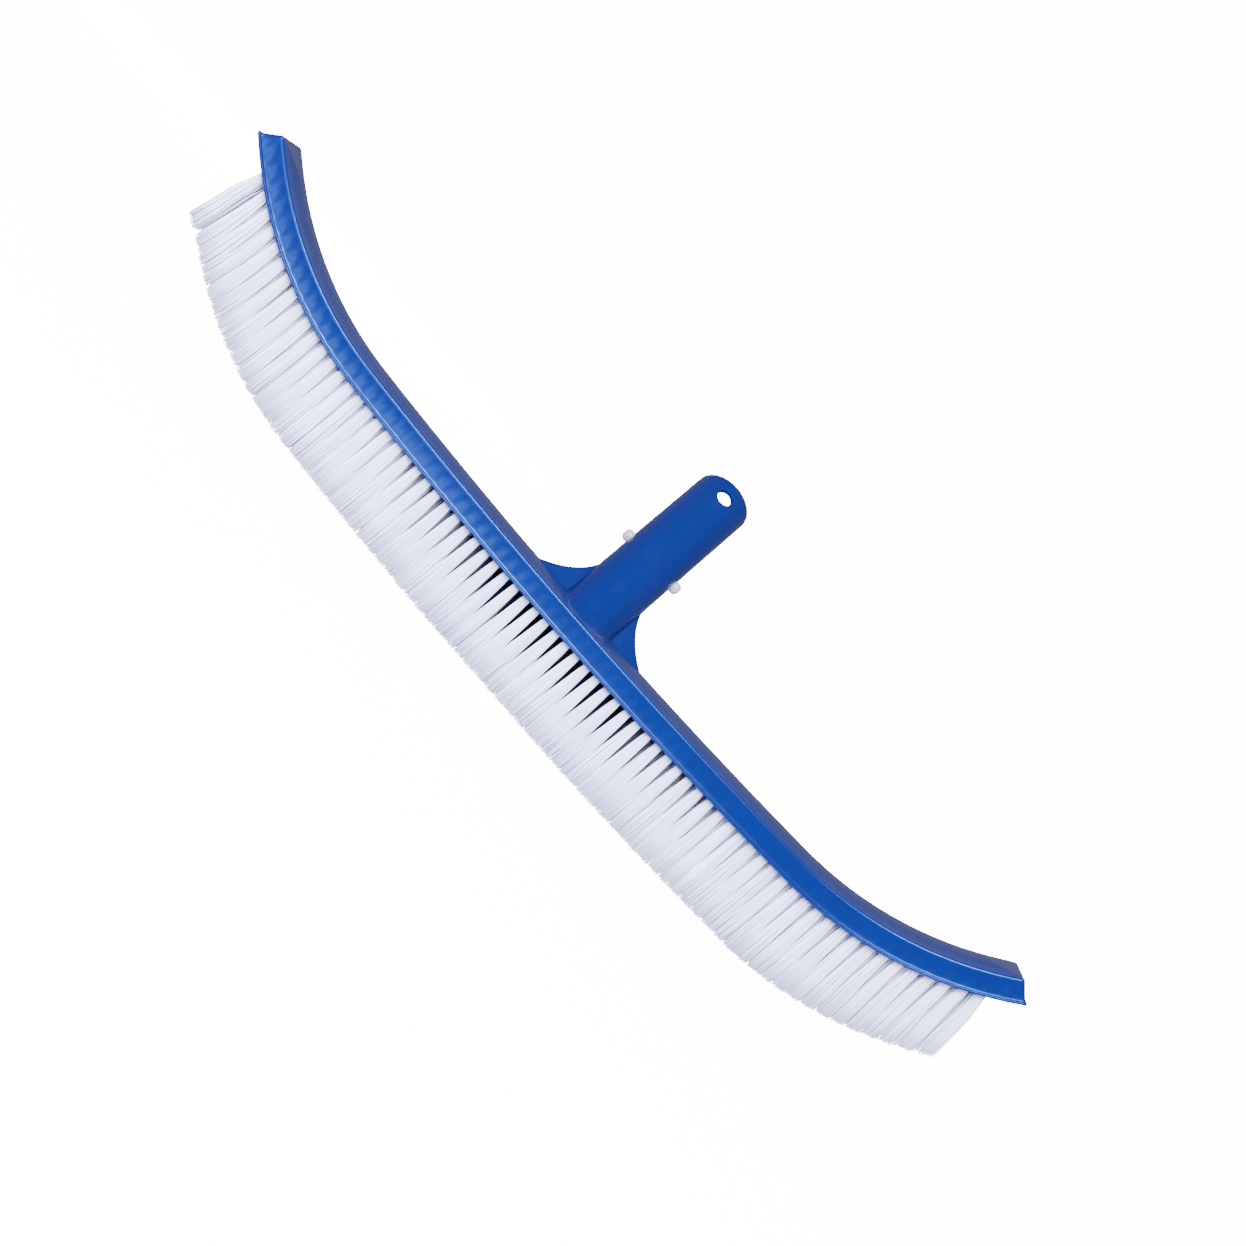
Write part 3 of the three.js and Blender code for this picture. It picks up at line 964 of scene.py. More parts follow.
    def body(self) -> bpy.types.Object:
        """Builds the bowed back with its lip, face, crest and crown.

        Returns:
            The closed solid.
        """
        rings = [self.outline(*level) for level in self.levels()]
        count = len(rings[0])
        faces = ring_faces(len(rings), count)
        faces += self.cap(0, False) + self.cap((len(rings) - 1) * count, True)
        return mesh_object("back_moulding", np.concatenate(rings), faces)

    def fillet_share(self, turn: float) -> float:
        """Gives the fillet's width round the handle's root, from front over side to rear."""
        facing = -math.sin(turn)
        end = self.front_fillet if facing > 0 else self.rear_fillet
        return end * abs(facing) ** 3 + self.root_fillet * (1 - abs(facing) ** 3)

    def tube(self) -> bpy.types.Object:
        """Builds the handle tube: fillet at the root, straight wall, rounded mouth and blind bore.

        Returns:
            The closed solid.
        """
        place = self.handle.matrix()
        lean = self.handle.lean
        top = -self.handle.root_rise
        turns = [2 * math.pi * i / self.tube_sides for i in range(self.tube_sides)]
        rings: list[np.ndarray] = []

        def level_ring(up: float, spread: float) -> np.ndarray:
            """Gives the wall's ring in a level plane, spread outwards by a share of the fillet."""
            ring = []
            for turn in turns:
                reach = self.fillet_share(turn) * spread
                x, y = self.tube_radius * math.cos(turn), self.tube_radius * math.sin(turn)
                sunk = self.rear_sink * max(math.sin(turn), 0.0) ** 2 if up < 0 else 0.0
                station = (top + up - sunk + math.sin(lean) * y) / math.cos(lean)
                at = place @ Vector((x, y, station))
                ring.append((at.x + reach * math.cos(turn), at.y + reach * math.sin(turn), at.z))
            return np.array(ring)

        rings.append(level_ring(-self.root_sink, 1.0))
        for sine, fall in quarter(self.fillet_steps):
            rings.append(level_ring(self.root_fillet * fall + self.root_lift, 1 - sine))
        for share in (0.25, 0.5, 0.75, 1.0):
            ring = []
            for turn in turns:
                x, y = self.tube_radius * math.cos(turn), self.tube_radius * math.sin(turn)
                level = (top + self.root_fillet + self.root_lift + math.sin(lean) * y) / math.cos(lean)
                station = level + share * (self.boss_length + self.root_run - level)
                ring.append(tuple(place @ Vector((x, y, station))))
            rings.append(np.array(ring))
        bore = self.tube_radius - self.tube_wall
        mouth = self.tube_length
        profile = [(self.tube_radius, station) for station in self.tube_stations]
        for sine, fall in quarter(self.mouth_steps):
            radius = self.tube_radius - self.mouth_rounding * fall
            profile.append((radius, mouth - self.mouth_rounding * (1 - sine)))
        profile += [(bore + self.mouth_chamfer, mouth), (bore, mouth - self.mouth_chamfer)]
        profile += [(bore, station) for station in self.tube_stations[::-1]]
        profile += [(bore, self.boss_length + self.boss_rounding)]
        profile += [(bore - self.boss_rounding, self.boss_length), (self.boss_middle, self.boss_length)]
        rings += [transform(np.array(circle(radius, station, turns)), place) for radius, station in profile]
        faces = ring_faces(len(rings), self.tube_sides) + end_faces(len(rings), self.tube_sides)
        return mesh_object("tube", np.concatenate(rings), faces)

    def webs(self) -> bpy.types.Object:
        """Builds the two gusset webs as one plate through the tube's root, with rounded edges.

        Returns:
            The closed solid.
        """
        start = (self.tube_radius - self.web_overlap, self.web_height)
        bend = (self.tube_radius + self.web_thickness, self.web_height * self.web_bend)
        end = (self.web_reach, 0.0)
        arc = [curve_point(i / self.web_steps, start, bend, end) for i in range(self.web_steps + 1)]
        reach = self.web_reach + self.web_overrun
        outline = [(-reach, -self.web_sink), (reach, -self.web_sink), (reach, -self.web_toe)]
        outline += arc[::-1] + [(-x, s) for x, s in arc] + [(-reach, -self.web_toe)]
        half = self.web_thickness / 2
        points = [(x, y, s) for y in (half, -half) for x, s in outline]
        count = len(outline)
        faces = [list(range(count)), [count + i for i in range(count)][::-1]]
        faces += [[i, count + i, count + (i + 1) % count, (i + 1) % count] for i in range(count)]
        plate = mesh_object("webs", transform(np.array(points), self.handle.matrix()), faces)
        rounding = self.web_rounding * MM
        with opened(plate) as shape:
            bmesh.ops.recalc_face_normals(shape, faces=shape.faces)
            rim = [e for e in shape.edges if len(e.link_faces) == 2 and e.calc_face_angle(0) > 1.0]
            bmesh.ops.bevel(shape, geom=rim, offset=rounding, segments=3, affect="EDGES", profile=0.5)
        return plate

    def side_hole(self) -> bpy.types.Object:
        """Builds the cutter for the two snap pin holes."""
        turn = Matrix.Rotation(math.pi / 2, 4, "Y")
        place = self.handle.matrix() @ Matrix.Translation((0, 0, self.pin_station)) @ turn
        return lathe("pin_cutter", self.flared_cutter(self.pin_hole_radius), 40, place)

    def hang_hole(self) -> bpy.types.Object:
        """Builds the cutter for the hole through both walls by the mouth."""
        turn = Matrix.Rotation(math.pi / 2, 4, "X")
        place = self.handle.matrix() @ Matrix.Translation((0, 0, self.hang_station)) @ turn
        return lathe("hang_cutter", self.flared_cutter(self.hang_hole_radius), 48, place)

    def flared_cutter(self, radius: float) -> list[tuple[float, float]]:
        """Gives a cutter's profile that opens a little where it meets the tube's outside.

        Args:
            radius: the hole's radius.

        Returns:
            Radius and height pairs, from one end to the other.
        """
        out = self.tube_radius + self.cutter_overrun
        level = self.tube_radius - self.flare_depth
        half = [(0.0, -out), (radius + self.flare_profile[0][0], -out)]
        half += [(radius + wider, -level - outside) for wider, outside in self.flare_profile]
        return half + [(r, -h) for r, h in half[::-1]]

    def tuft_holes(self, tufts: "TuftField") -> bpy.types.Object:
        """Builds the cutter for every tuft's blind hole.

        Args:
            tufts: the tufts that need holes.

        Returns:
            One object with a closed plug for each hole.
        """
        sides = self.tuft_hole_sides
        turns = np.linspace(0, 2 * math.pi, sides, endpoint=False)
        points, faces = [], []
        for x, y, root in tufts.roots():
            first = len(points)
            for z in (root - self.tuft_hole_start, root + self.tuft_hole_depth):
                points += circle(tufts.hole_radius, z, turns, x, y)
            faces += ring_faces(2, sides, first) + end_faces(2, sides, first)
        return mesh_object("hole_cutter", np.array(points), faces)

    def build(self, tufts: "TuftField") -> bpy.types.Object:
        """Joins and cuts the moulding, dresses it and puts it in place of its CAD nodes.

        Args:
            tufts: the tufts that need holes.

        Returns:
            The finished piece.
        """
        moulding = self.body()
        combine(moulding, self.webs(), Cut.JOIN)
        combine(moulding, self.tube(), Cut.JOIN)
        combine(moulding, self.side_hole(), Cut.REMOVE)
        combine(moulding, self.hang_hole(), Cut.REMOVE)
        combine(moulding, self.tuft_holes(tufts), Cut.REMOVE)
        shade_by_angle(moulding, MOULDING_SMOOTH)
        moulding.data.materials.clear()
        moulding.data.materials.append(self.finish)
        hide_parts("brush_back", "handle_tube")
        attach(moulding, Body.BRUSH.value)
        LOG.info("back moulding: %d faces", len(moulding.data.polygons))
        return moulding


@dataclass
class TuftField:
    """The bristle tufts: filaments set in blind holes at one pitch along and across. Millimetres."""

    bow: BowLine
    front: float
    finish: bpy.types.Material
    # The grid of holes.
    columns: int = 72
    columns_per_block: int = 2
    column_pitch: float = TUFT_PITCH
    rows: int = 5
    row_pitch: float = 8.25
    depth: float = BACK_DEPTH
    back_height: float = BACK_HEIGHT
    hole_radius: float = 2.4
    # A tuft: a round bundle in its hole that opens to fill its cell towards the tips.
    bundle_radius: float = 2.0
    middle_bundle_radius: float = 1.75
    filaments: int = 48
    filament_radius: float = 0.26
    bristle_length: float = 38.5
    inside: float = 3.0
    flare_along: float = 3.3
    flare_across: float = 4.1
    flare_share: float = 0.7
    # Painted shade at the roots of the inner rows, darkest in the middle of the brush, and rows that fan
    # out straight from their holes.
    painted_shade_by_row: tuple[float, ...] = (0.0, 0.6, 1.0, 0.8, 0.0)
    painted_shade_full: float = 45.0
    painted_shade_reach: float = 100.0
    fanned_rows: tuple[int, ...] = (2, 3)
    fanned_rows_at_ends: tuple[int, ...] = (1, 2, 3)
    # The two ends: tufts splay outwards, are trimmed shorter, and the outermost ones press out.
    end_splay: float = 4.6
    end_trim: float = 3.0
    trim_start: float = 140.0
    end_fan_left: tuple[float, float] = (2.1, 2.1)
    end_fan_right: tuple[float, float] = (2.2, 0.3)
    fan_freed: float = 0.3
    # Every bristle leans a little to the left, and bends more towards its tip.
    set_left: float = 1.1
    bend_power: float = 1.6
    mouth_margin: float = 0.8
    # Scatter of places, lengths, directions and tones.
    bundle_jitter: float = 0.03
    tip_jitter: float = 0.4
    wander: float = 0.3
    tuft_lean: float = 0.1
    tone_middle: float = 0.72
    tone_spread: float = 0.2
    map_margin_u: float = 0.1
    map_margin_v: float = 0.05
    sides: int = 3
    seed: int = 7

    def column_x(self, column: int) -> float:
        """Gives a column's centre along the brush."""
        return (column - (self.columns - 1) / 2) * self.column_pitch

    def row_y(self, row: int) -> float:
        """Gives a row's centre across the brush."""
        return self.front + self.depth / 2 + (row - (self.rows - 1) / 2) * self.row_pitch

    def roots(self) -> list[tuple[float, float, float]]:
        """Lists each hole's centre at the underside."""
        found = []
        for column in range(self.columns):
            x = self.column_x(column)
            height = float(self.bow.height_under(np.array(x), self.back_height))
            found += [(x, self.row_y(row), height) for row in range(self.rows)]
        return found

    def block(self, index: int, rng: np.random.Generator) -> bpy.types.Object:
        """Builds the filaments of one block of neighbouring columns.

        Args:
            index: the block's number from the left, from 0.
            rng: the source of random numbers.

        Returns:
            The piece, in place of the block's CAD node.
        """
        paths, tones, painted_shade_amounts, cells = [], [], [], []
        first = index * self.columns_per_block
        for column in range(first, first + self.columns_per_block):
            x = self.column_x(column)
            for row in range(self.rows):
                path, tone = self.tuft(x, self.row_y(row), self.is_fanned(x, row), rng)
                paths.append(path)
                tones.append(tone)
                painted_shade_amounts.append(np.full(self.filaments, self.painted_shade(x, row)))
                cells.append(np.full(self.filaments, (column - first) * self.rows + row))
        name = f"bristles_{index + 1:02d}"
        piece = self.skin(name, np.concatenate(paths), np.concatenate(cells))
        self.tint(piece.data, "tone", np.concatenate(tones))
        # The 'depth' attribute carries how much painted shade darkens each filament's root.
        self.tint(piece.data, "depth", np.concatenate(painted_shade_amounts))
        piece.data.materials.append(self.finish)
        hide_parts(f"tuft_block_{index + 1:02d}")
        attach(piece, Body.BRUSH.value)
        return piece

    def is_fanned(self, x: float, row: int) -> bool:
        """Tells whether a tuft fans out right at its root, as the inner rows do."""
        return row in (self.fanned_rows_at_ends if abs(x) > self.painted_shade_reach else self.fanned_rows)

    def painted_shade(self, x: float, row: int) -> float:
        """Gives how much painted shade darkens a tuft's root: most in the middle row, at the middle of the
        brush.
        """
        fade = (self.painted_shade_reach - abs(x)) / (self.painted_shade_reach - self.painted_shade_full)
        return self.painted_shade_by_row[row] * min(max(fade, 0.0), 1.0)

    def end_fan(self, x: float, share: np.ndarray) -> np.ndarray:
        """Gives how far the outermost tufts press outwards, from just under their holes to their tips.

        Args:
            x: the tuft's centre along the brush.
            share: the shares of the filaments' length.

        Returns:
            The signed shift at each share, nothing for the other tufts.
        """
        if abs(x) < self.column_x(self.columns - 1) - 0.1:
            return np.zeros_like(share)
        near, far = self.end_fan_right if x > 0 else self.end_fan_left
        freed = np.clip((share - self.stations()[1]) / self.fan_freed, 0.0, 1.0)
        return math.copysign(1.0, x) * freed * (near + (far - near) * share)

    def length_at(self, x: float) -> float:
        """Gives the bristles' length under the back, which is trimmed a little at the ends."""
        last = self.column_x(self.columns - 1)
        share = min(max((abs(x) - self.trim_start) / (last - self.trim_start), 0.0), 1.0)
        return self.bristle_length - self.end_trim * share**2

    def scatter(self, fanned: bool, rng: np.random.Generator) -> tuple[np.ndarray, np.ndarray]:
        """Gives each filament's place in its tuft, from -1 to 1 each way.

        Args:
            fanned: whether the filaments fill a square cell instead of a round bundle.
            rng: the source of random numbers.

        Returns:
            The places along and across the brush.
        """
        count = self.filaments
        order = np.arange(count)
        if fanned:
            side = math.ceil(math.sqrt(count))
            jitter = rng.uniform(-0.5, 0.5, (2, count))
            along = 2 * (order % side + 0.5 + jitter[0]) / side - 1
            across = 2 * (order // side + 0.5 + jitter[1]) / side - 1
            return along, across
        turn = order * math.pi * (3 - math.sqrt(5)) + rng.uniform(0, 2 * math.pi)
        ring = np.sqrt((order + 0.5) / count)
        jitter = rng.normal(0, self.bundle_jitter, (2, count))
        return ring * np.cos(turn) + jitter[0], ring * np.sin(turn) + jitter[1]

    def tuft(
        self, x: float, y: float, fanned: bool, rng: np.random.Generator
    ) -> tuple[np.ndarray, np.ndarray]:
        """Lays out one tuft's filaments.

        Args:
            x: the tuft's centre along the brush.
            y: the tuft's centre across the brush.
            fanned: whether the tuft fans out right at its root.
            rng: the source of random numbers.

        Returns:
            The filaments' centre lines as filament, step and xyz, and a tone for each filament.
        """
        count = self.filaments
        unit_x, unit_y = self.scatter(fanned, rng)
        root = self.bow.height_under(np.array(x), self.back_height)
        under = self.bow.height_under(x + unit_x * self.flare_along, self.back_height)
        tip = np.maximum(under - self.length_at(x), 0.0) + np.abs(rng.normal(0, self.tip_jitter, count))
        slope = self.bow.slope_under(np.array(x), self.back_height)
        splay = self.end_splay * slope / self.bow.end_slope - self.set_left
        wander = rng.normal(0, self.wander, (2, count))
        lean = rng.normal(0, self.tuft_lean, 2)
        share = self.stations()[None, :]
        start = float(root) + self.inside
        z = start + (tip[:, None] - start) * share
        inside = self.inside / (self.inside + self.bristle_length)
        outside = np.clip((share - inside) / (self.flare_share - inside), 0.0, 1.0)
        open_up = np.where(share > inside, 1.0, 0.0) if fanned else outside
        bundle = self.bundle_radius if abs(x) > self.painted_shade_reach else self.middle_bundle_radius
        reach_x = bundle + (self.flare_along - bundle) * open_up
        reach_y = self.bundle_radius + (self.flare_across - self.bundle_radius) * open_up
        bend = share**self.bend_power
        path_x = x + unit_x[:, None] * reach_x + (splay + lean[0] + wander[0][:, None]) * bend
        path_x += self.end_fan(x, share)
        path_y = y + unit_y[:, None] * reach_y + (lean[1] + wander[1][:, None]) * bend
        tone = np.clip(rng.normal(self.tone_middle, self.tone_spread, count), 0, 1)
        return np.stack([path_x, path_y, z], axis=2), tone

    def stations(self) -> np.ndarray:
        """Gives the shares of a filament's length at which it has a ring, from hole to tip."""
        mouth = (self.inside + self.mouth_margin) / (self.inside + self.bristle_length)
        return np.array([0.0, mouth, (mouth + self.flare_share) / 2, self.flare_share, 1.0])

    def tint(self, mesh: bpy.types.Mesh, name: str, values: np.ndarray) -> None:
        """Stores one value for each filament as an attribute of its points.

        Args:
            mesh: the filaments' mesh.
            name: the attribute's name.
            values: one value for each filament.
        """
        spread = np.repeat(values, len(mesh.vertices) // len(values)).astype(np.float32)
        mesh.attributes.new(name, "FLOAT", "POINT").data.foreach_set("value", spread)

    def skin(self, name: str, paths: np.ndarray, cells: np.ndarray) -> bpy.types.Object:
        """Skins centre lines with thin closed tubes, with a share of length and a map of their own.

        Args:
            name: the piece's name.
            paths: centre lines as filament, step and xyz.
            cells: the row of the map that each filament takes.

        Returns:
            The new object.
        """
        many, steps = paths.shape[:2]
        turns = np.linspace(0, 2 * math.pi, self.sides, endpoint=False)
        around = np.stack([np.cos(turns), np.sin(turns), np.zeros(self.sides)], axis=1)
        points = (paths[:, :, None, :] + around[None, None] * self.filament_radius).reshape(-1, 3)
        base = np.arange(many)[:, None, None] * steps * self.sides
        step = np.arange(steps - 1)[None, :, None] * self.sides
        side = np.arange(self.sides)[None, None, :]
        after = (side + 1) % self.sides
        a, b = base + step + side, base + step + after
        quads = np.stack([b, a, a + self.sides, b + self.sides], axis=3).reshape(-1, 4)
        start = (np.arange(many) * steps * self.sides)[:, None] + np.arange(self.sides)[None]
        end = start[:, ::-1] + (steps - 1) * self.sides
        faces = quads.tolist() + start.tolist() + end.tolist()
        piece = mesh_object(name, points, faces)
        mesh = piece.data
        mesh.polygons.foreach_set("use_smooth", np.repeat([True, False], [len(quads), 2 * many]))
        along = np.repeat(np.tile(self.stations(), many), self.sides)
        mesh.attributes.new("along", "FLOAT", "POINT").data.foreach_set("value", along.astype(np.float32))
        self.map_strips(mesh, cells, steps)
        return piece

    def map_strips(self, mesh: bpy.types.Mesh, cells: np.ndarray, steps: int) -> None:
        """Gives every filament a strip of its own on the piece's map.

        Args:
            mesh: the filaments' mesh.
            cells: the row of the map that each filament takes.
            steps: rings in each filament.
        """
        layer = mesh.uv_layers.new(name="OFBake")
        corner = np.empty(len(mesh.loops), np.int32)
        mesh.loops.foreach_get("vertex_index", corner)
        filament, rest = np.divmod(corner, steps * self.sides)
        step, side = np.divmod(rest, self.sides)
        wide = self.map_margin_u + (1 - 2 * self.map_margin_u) * side / (self.sides - 1)
        tall = self.map_margin_v + (1 - 2 * self.map_margin_v) * step / (steps - 1)
        u = (filament % self.filaments + wide) / self.filaments
        v = (cells[filament] + tall) / (int(cells.max()) + 1)
        layer.uv.foreach_set("vector", np.stack([u, v], axis=1).astype(np.float32).ravel())

    def build(self) -> bpy.types.Collection:
        """Builds every block of tufts.

        Returns:
            The blocks, as a set that lights can be linked to.
        """
        rng = np.random.default_rng(self.seed)
        blocks = bpy.data.collections.new("bristle_blocks")
        for index in range(self.columns // self.columns_per_block):
            blocks.objects.link(self.block(index, rng))
        LOG.info("bristles: %d tufts of %d filaments", self.columns * self.rows, self.filaments)
        return blocks


@dataclass
class SpringClip:
    """The V-clip in the tube: bow, two arms and a snap pin on each arm. Millimetres."""

    handle: HandleFrame
    clip_finish: bpy.types.Material
    pin_finish: bpy.types.Material
    pin_station: float = 47.4
    pin_radius: float = 2.8
    pin_tip: float = 17.85
    pin_dome: float = 1.9
    width: float = 9.0
    thickness: float = 1.6
    half_span: float = 8.6
    arm_length: float = 34.5
    pin_to_pivot: float = 29.1
    edge_rounding: float = 0.35
    edge_steps: int = 4
    rivet_radius: float = 1.5
    rivet_head: float = 3.0
    rivet_head_height: float = 1.0
    rivet_chamfer: tuple[float, float] = (0.5, 0.4)
    collar_radius: float = 3.8
    collar_height: float = 1.0
    collar_chamfer: float = 0.2
    neck_chamfer: tuple[float, float] = (0.15, 0.2)
    dome_steps: int = 12
    cutter_reach: float = 2.0
    gap: float = 0.3

    @property
    def pivot_station(self) -> float:
        """Where the arms leave the bow, along the tube."""
        return self.pin_station + self.pin_to_pivot

    def section(self) -> list[tuple[float, float]]:
        """Lists the strip's section: distance out from its centre line and place across it."""
        deep = self.thickness / 2 - self.edge_rounding
        wide = self.width / 2 - self.edge_rounding
        points = []
        for quadrant, (out, across) in enumerate(((1, 1), (-1, 1), (-1, -1), (1, -1))):
            for i in range(self.edge_steps):
                turn = (quadrant + i / (self.edge_steps - 1)) * math.pi / 2
                points.append((
                    out * deep + self.edge_rounding * math.cos(turn),
                    across * wide + self.edge_rounding * math.sin(turn),
                ))
        return points

    def strip(
        self, name: str, centre: list[tuple[float, float]], node: str, body: Body
    ) -> bpy.types.Object:
        """Builds a flat strip along a centre line in the plane of the clip, with rounded edges.

        Args:
            name: the piece's name.
            centre: x and station pairs along the strip.
            node: the CAD node that the strip stands for.
            body: the body that it rides on.

        Returns:
            The dressed strip.
        """
        line = np.array(centre)
        step = np.gradient(line, axis=0)
        step /= np.linalg.norm(step, axis=1)[:, None]
        side = np.stack([step[:, 1], -step[:, 0]], axis=1)
        section = self.section()
        rings = []
        for at, out in zip(line, side):
            rings.append([(at[0] + out[0] * d, w, at[1] + out[1] * d) for d, w in section])
        faces = ring_faces(len(rings), len(section)) + end_faces(len(rings), len(section))
        points = transform(np.array(rings).reshape(-1, 3), self.handle.matrix())
        piece = mesh_object(name, points, faces)
        with opened(piece) as shape:
            bmesh.ops.recalc_face_normals(shape, faces=shape.faces)
        self.dress(piece, self.clip_finish, node, body)
        return piece

    def dress(
        self, piece: bpy.types.Object, finish: bpy.types.Material, node: str, body: Body
    ) -> None:
        """Gives a piece its finish, slot, CAD node and body.

        Args:
            piece: the piece to dress.
            finish: its material.
            node: the CAD node that it stands for.
            body: the body that it rides on.
        """
        shade_by_angle(piece, CLIP_SMOOTH)
        piece.data.materials.clear()
        piece.data.materials.append(finish)
        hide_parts(node)
        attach(piece, body.value)
        LOG.info("%s: %d faces", piece.name, len(piece.data.polygons))

    def bow(self) -> None:
        """Builds the clip's round bow."""
        turns = np.linspace(0, math.pi, 41)
        span, foot = self.half_span, self.pivot_station
        centre = [(span * math.cos(t), foot + span * math.sin(t)) for t in turns]
        self.strip("spring_bow", centre, "clip_bow", Body.BRUSH)

    def arm(self, side: int, label: str, body: Body) -> None:
        """Builds one arm, with the hole for its rivet.

        Args:
            side: -1 for the left arm, 1 for the right.
            label: the side's name.
            body: the body that the arm rides on.
        """
        start = self.pivot_station - self.gap
        stations = np.linspace(start, start - self.arm_length, 24)
        centre = [(side * self.half_span, s) for s in stations]
        piece = self.strip(f"spring_arm_{label}", centre, f"clip_arm_{label}", body)
        turn = Matrix.Rotation(math.pi / 2, 4, "Y")
        at = Matrix.Translation((side * self.half_span, 0, self.pin_station))
        place = self.handle.matrix() @ at @ turn
        radius, reach = self.rivet_radius + self.gap, self.cutter_reach
        profile = [(0.0, -reach), (radius, -reach), (radius, reach), (0.0, reach)]
        cutter = lathe("rivet_cutter", profile, 32, place)
        combine(piece, cutter, Cut.REMOVE)
        shade_by_angle(piece, CLIP_SMOOTH)

    def pin(self, side: int, label: str, body: Body) -> None:
        """Builds one snap pin: rivet head, shank, collar and domed pin.

        Args:
            side: -1 for the left pin, 1 for the right.
            label: the side's name.
            body: the body that the pin rides on.
        """
        inner = self.half_span - self.thickness / 2 - self.gap
        outer = self.half_span + self.thickness / 2 + self.gap
        head = inner - self.rivet_head_height
        profile = [(0.0, head), (self.rivet_head - self.rivet_chamfer[0], head)]
        profile += [(self.rivet_head, head + self.rivet_chamfer[1])]
        profile += [(self.rivet_head, inner), (self.rivet_radius, inner), (self.rivet_radius, outer)]
        collar_top = outer + self.collar_height
        profile += [(self.collar_radius, outer), (self.collar_radius, collar_top - self.collar_chamfer)]
        profile += [(self.collar_radius - self.collar_chamfer, collar_top)]
        profile += [(self.pin_radius + self.neck_chamfer[0], collar_top)]
        profile += [(self.pin_radius, collar_top + self.neck_chamfer[1])]
        shoulder = self.pin_tip - self.pin_dome
        for i in range(self.dome_steps + 1):
            turn = i / self.dome_steps * math.pi / 2
            profile.append((self.pin_radius * math.cos(turn), shoulder + self.pin_dome * math.sin(turn)))
        profile[-1] = (0.0, self.pin_tip)
        turn = Matrix.Rotation(side * math.pi / 2, 4, "Y")
        place = self.handle.matrix() @ Matrix.Translation((0, 0, self.pin_station)) @ turn
        piece = lathe(f"locking_pin_{label}", profile, 48, place)
        self.dress(piece, self.pin_finish, f"snap_pin_{label}", body)

    def build(self) -> None:
        """Builds the whole clip."""
        self.bow()
        for side, label, body in ((-1, "left", Body.LEFT_ARM), (1, "right", Body.RIGHT_ARM)):
            self.arm(side, label, body)
            self.pin(side, label, body)


@dataclass(frozen=True)
class Lamp:
    """One soft square light: where it stands, its side, its power in watts and where it faces. Metres."""

    name: str
    place: tuple[float, float, float]
    size: float
    power: float
    aim: tuple[float, float, float] = (0.0, 0.0, 0.06)
    glints: bool = True
    fills: bool = True
    bristles_only: bool = False


LAMPS = (
    Lamp("key", (-0.24, -1.0, 0.6), 0.5, 27.0, glints=False),
    Lamp("fill", (0.75, -1.3, 0.25), 0.6, 13.0, glints=False),
    Lamp("overhead", (0.1, 0.75, 1.2), 1.0, 3.0),
    Lamp("behind", (-0.5, 1.1, 0.6), 0.6, 16.0, glints=False),
    Lamp("bristle_front", (-0.1, -1.1, 0.45), 0.6, 86.0, glints=False, bristles_only=True),
    Lamp("bristle_behind", (0.2, 1.2, 0.4), 0.6, 30.0, glints=False, bristles_only=True),
    Lamp("crest_glint", (-0.1, -0.72, 0.92), 0.3, 34.0, fills=False),
    Lamp("left_glint", (-0.15, -0.5, 0.275), 0.12, 0.65, aim=(-0.18, 0.0, 0.08), fills=False),
)


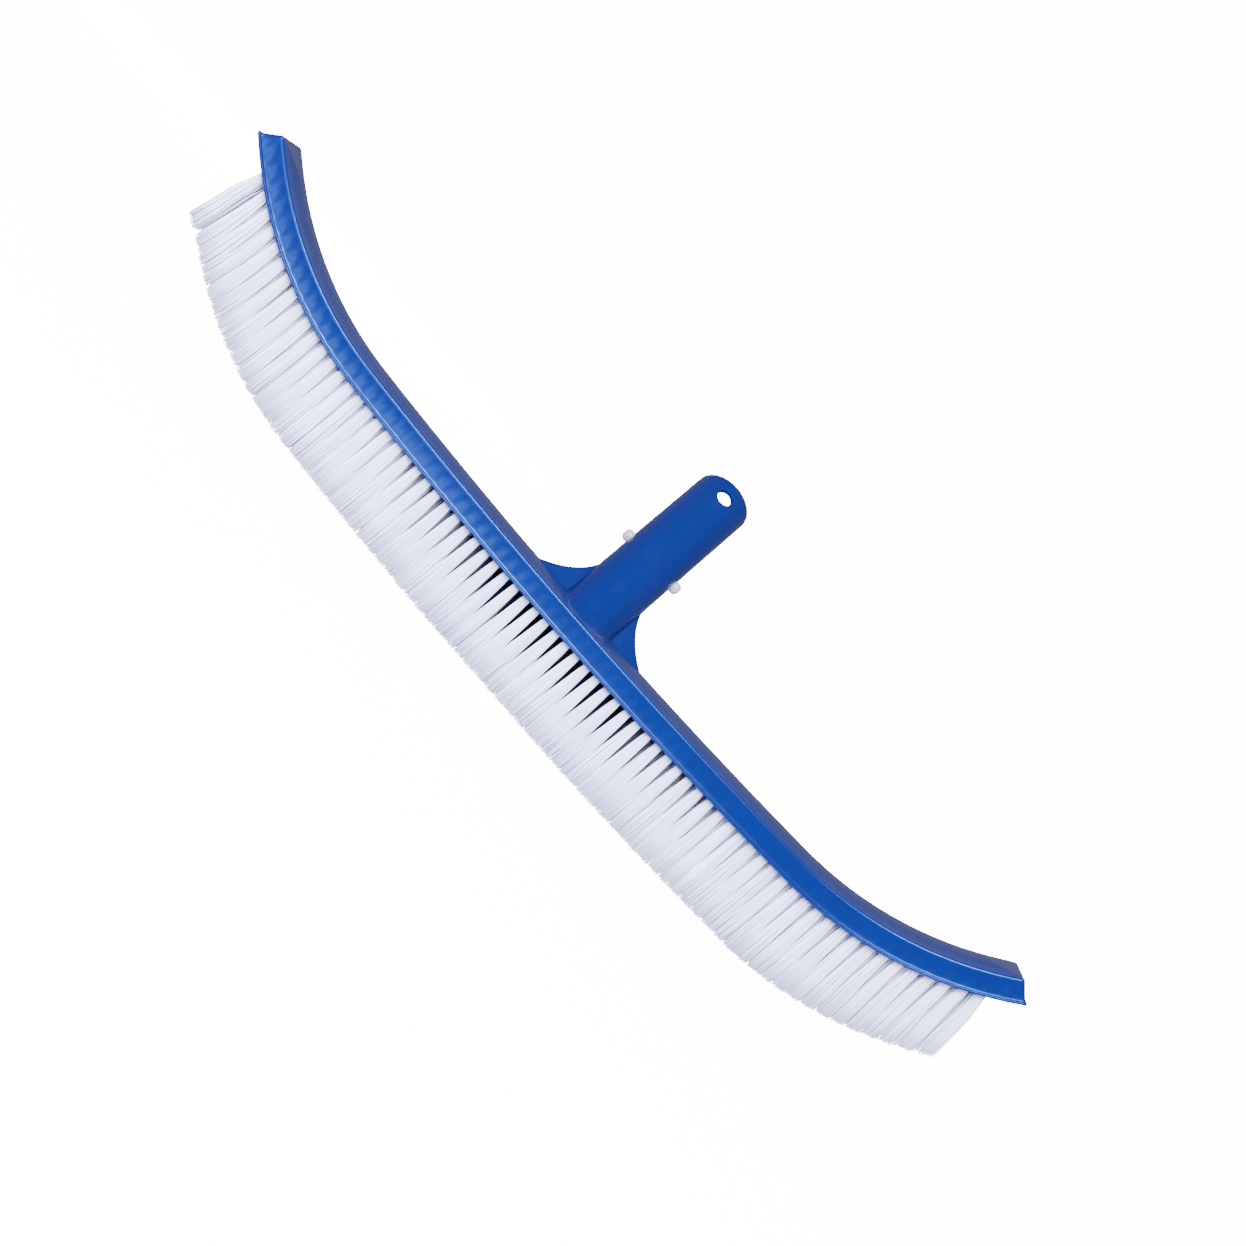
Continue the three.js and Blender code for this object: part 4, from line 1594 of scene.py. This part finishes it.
@dataclass
class Studio:
    """Camera, floor and lights. Metres and row frame."""

    front: float
    crest: float
    bristles: bpy.types.Collection
    target: tuple[float, float, float] = (0.01215, 0.0, 0.01312)
    distance: float = 1.11208
    azimuth: float = 0.0048
    elevation: float = 0.0833
    roll: float = 0.8497
    lens: float = 76.79
    sensor: float = 36.0
    floor_half: float = 6.0
    floor_drop: float = 0.0004
    backdrop: float = 15.0
    ambient: float = 0.28

    def camera(self) -> None:
        """Places the rolled camera."""
        side, level = self.azimuth, math.cos(self.elevation)
        back = Vector((math.sin(side) * level, -math.cos(side) * level, math.sin(self.elevation)))
        right = Vector((math.cos(side), math.sin(side), 0.0))
        up = right.cross(-back)
        cosine, sine = math.cos(self.roll), math.sin(self.roll)
        turned = Matrix((cosine * right + sine * up, -sine * right + cosine * up, back))
        target = Vector(self.target) + Vector((0.0, self.front, self.crest))
        camera = bpy.data.cameras.new("camera")
        camera.lens = self.lens
        camera.sensor_width = self.sensor
        holder = bpy.data.objects.new("camera", camera)
        place = Matrix.Translation(target + back * self.distance)
        holder.matrix_world = place @ turned.transposed().to_4x4()
        bpy.context.scene.collection.objects.link(holder)
        bpy.context.scene.camera = holder

    def floor(self) -> None:
        """Lays the wide pale floor, just under the bristle tips."""
        corners = np.array([(-1, -1), (1, -1), (1, 1), (-1, 1)]) * self.floor_half
        points = np.column_stack([corners, np.full(len(corners), -self.floor_drop)])
        sheet = mesh_object("floor", points / MM, [[0, 1, 2, 3]])
        sheet.data.materials.append(FloorPaper().build())

    def light(self, lamp: Lamp) -> None:
        """Adds one soft square light.

        Args:
            lamp: the light to add.
        """
        source = bpy.data.lights.new(lamp.name, "AREA")
        source.shape = "SQUARE"
        source.size = lamp.size
        source.energy = lamp.power
        holder = bpy.data.objects.new(lamp.name, source)
        holder.location = lamp.place
        facing = Vector(lamp.aim) - Vector(lamp.place)
        holder.rotation_euler = facing.to_track_quat("-Z", "Y").to_euler()
        holder.visible_glossy = lamp.glints
        holder.visible_diffuse = lamp.fills
        if lamp.bristles_only:
            holder.light_linking.receiver_collection = self.bristles
        bpy.context.scene.collection.objects.link(holder)

    def surround(self) -> None:
        """Sets a dim surround that looks as pale as the floor behind the brush."""
        world = bpy.data.worlds.new("surround")
        world.use_nodes = True
        sheet = NodeSheet(world.node_tree)
        seen = sheet.add("ShaderNodeLightPath").outputs["Is Camera Ray"]
        background = world.node_tree.nodes["Background"]
        strength = sheet.scaled(seen, self.backdrop - self.ambient, self.ambient)
        sheet.feed(background.inputs["Strength"], strength)
        background.inputs["Color"].default_value = WHITE
        bpy.context.scene.world = world

    def build(self) -> None:
        """Builds the whole studio."""
        self.camera()
        self.floor()
        for lamp in LAMPS:
            self.light(lamp)
        self.surround()


def main() -> None:
    """Builds the brush and its studio around the frame."""
    logging.basicConfig(level=logging.INFO, format="%(name)s: %(message)s")
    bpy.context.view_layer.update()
    effects = EffectShelf()
    blue = BLUE_PLASTIC.build(effects)
    clip = CLIP_PLASTIC.build(effects)
    pins = PIN_PLASTIC.build(effects)
    nylon = FilamentNylon().build()

    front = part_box("brush_back")[0].y / MM
    bow = BowLine(CREST_HEIGHT)
    handle = HandleFrame(front, CREST_HEIGHT)
    tufts = TuftField(bow, front, nylon)
    BackMoulding(bow, handle, blue).build(tufts)
    bristles = tufts.build()
    SpringClip(handle, clip, pins).build()
    Studio(front * MM, CREST_HEIGHT * MM, bristles).build()


if __name__ == "__main__":
    main()
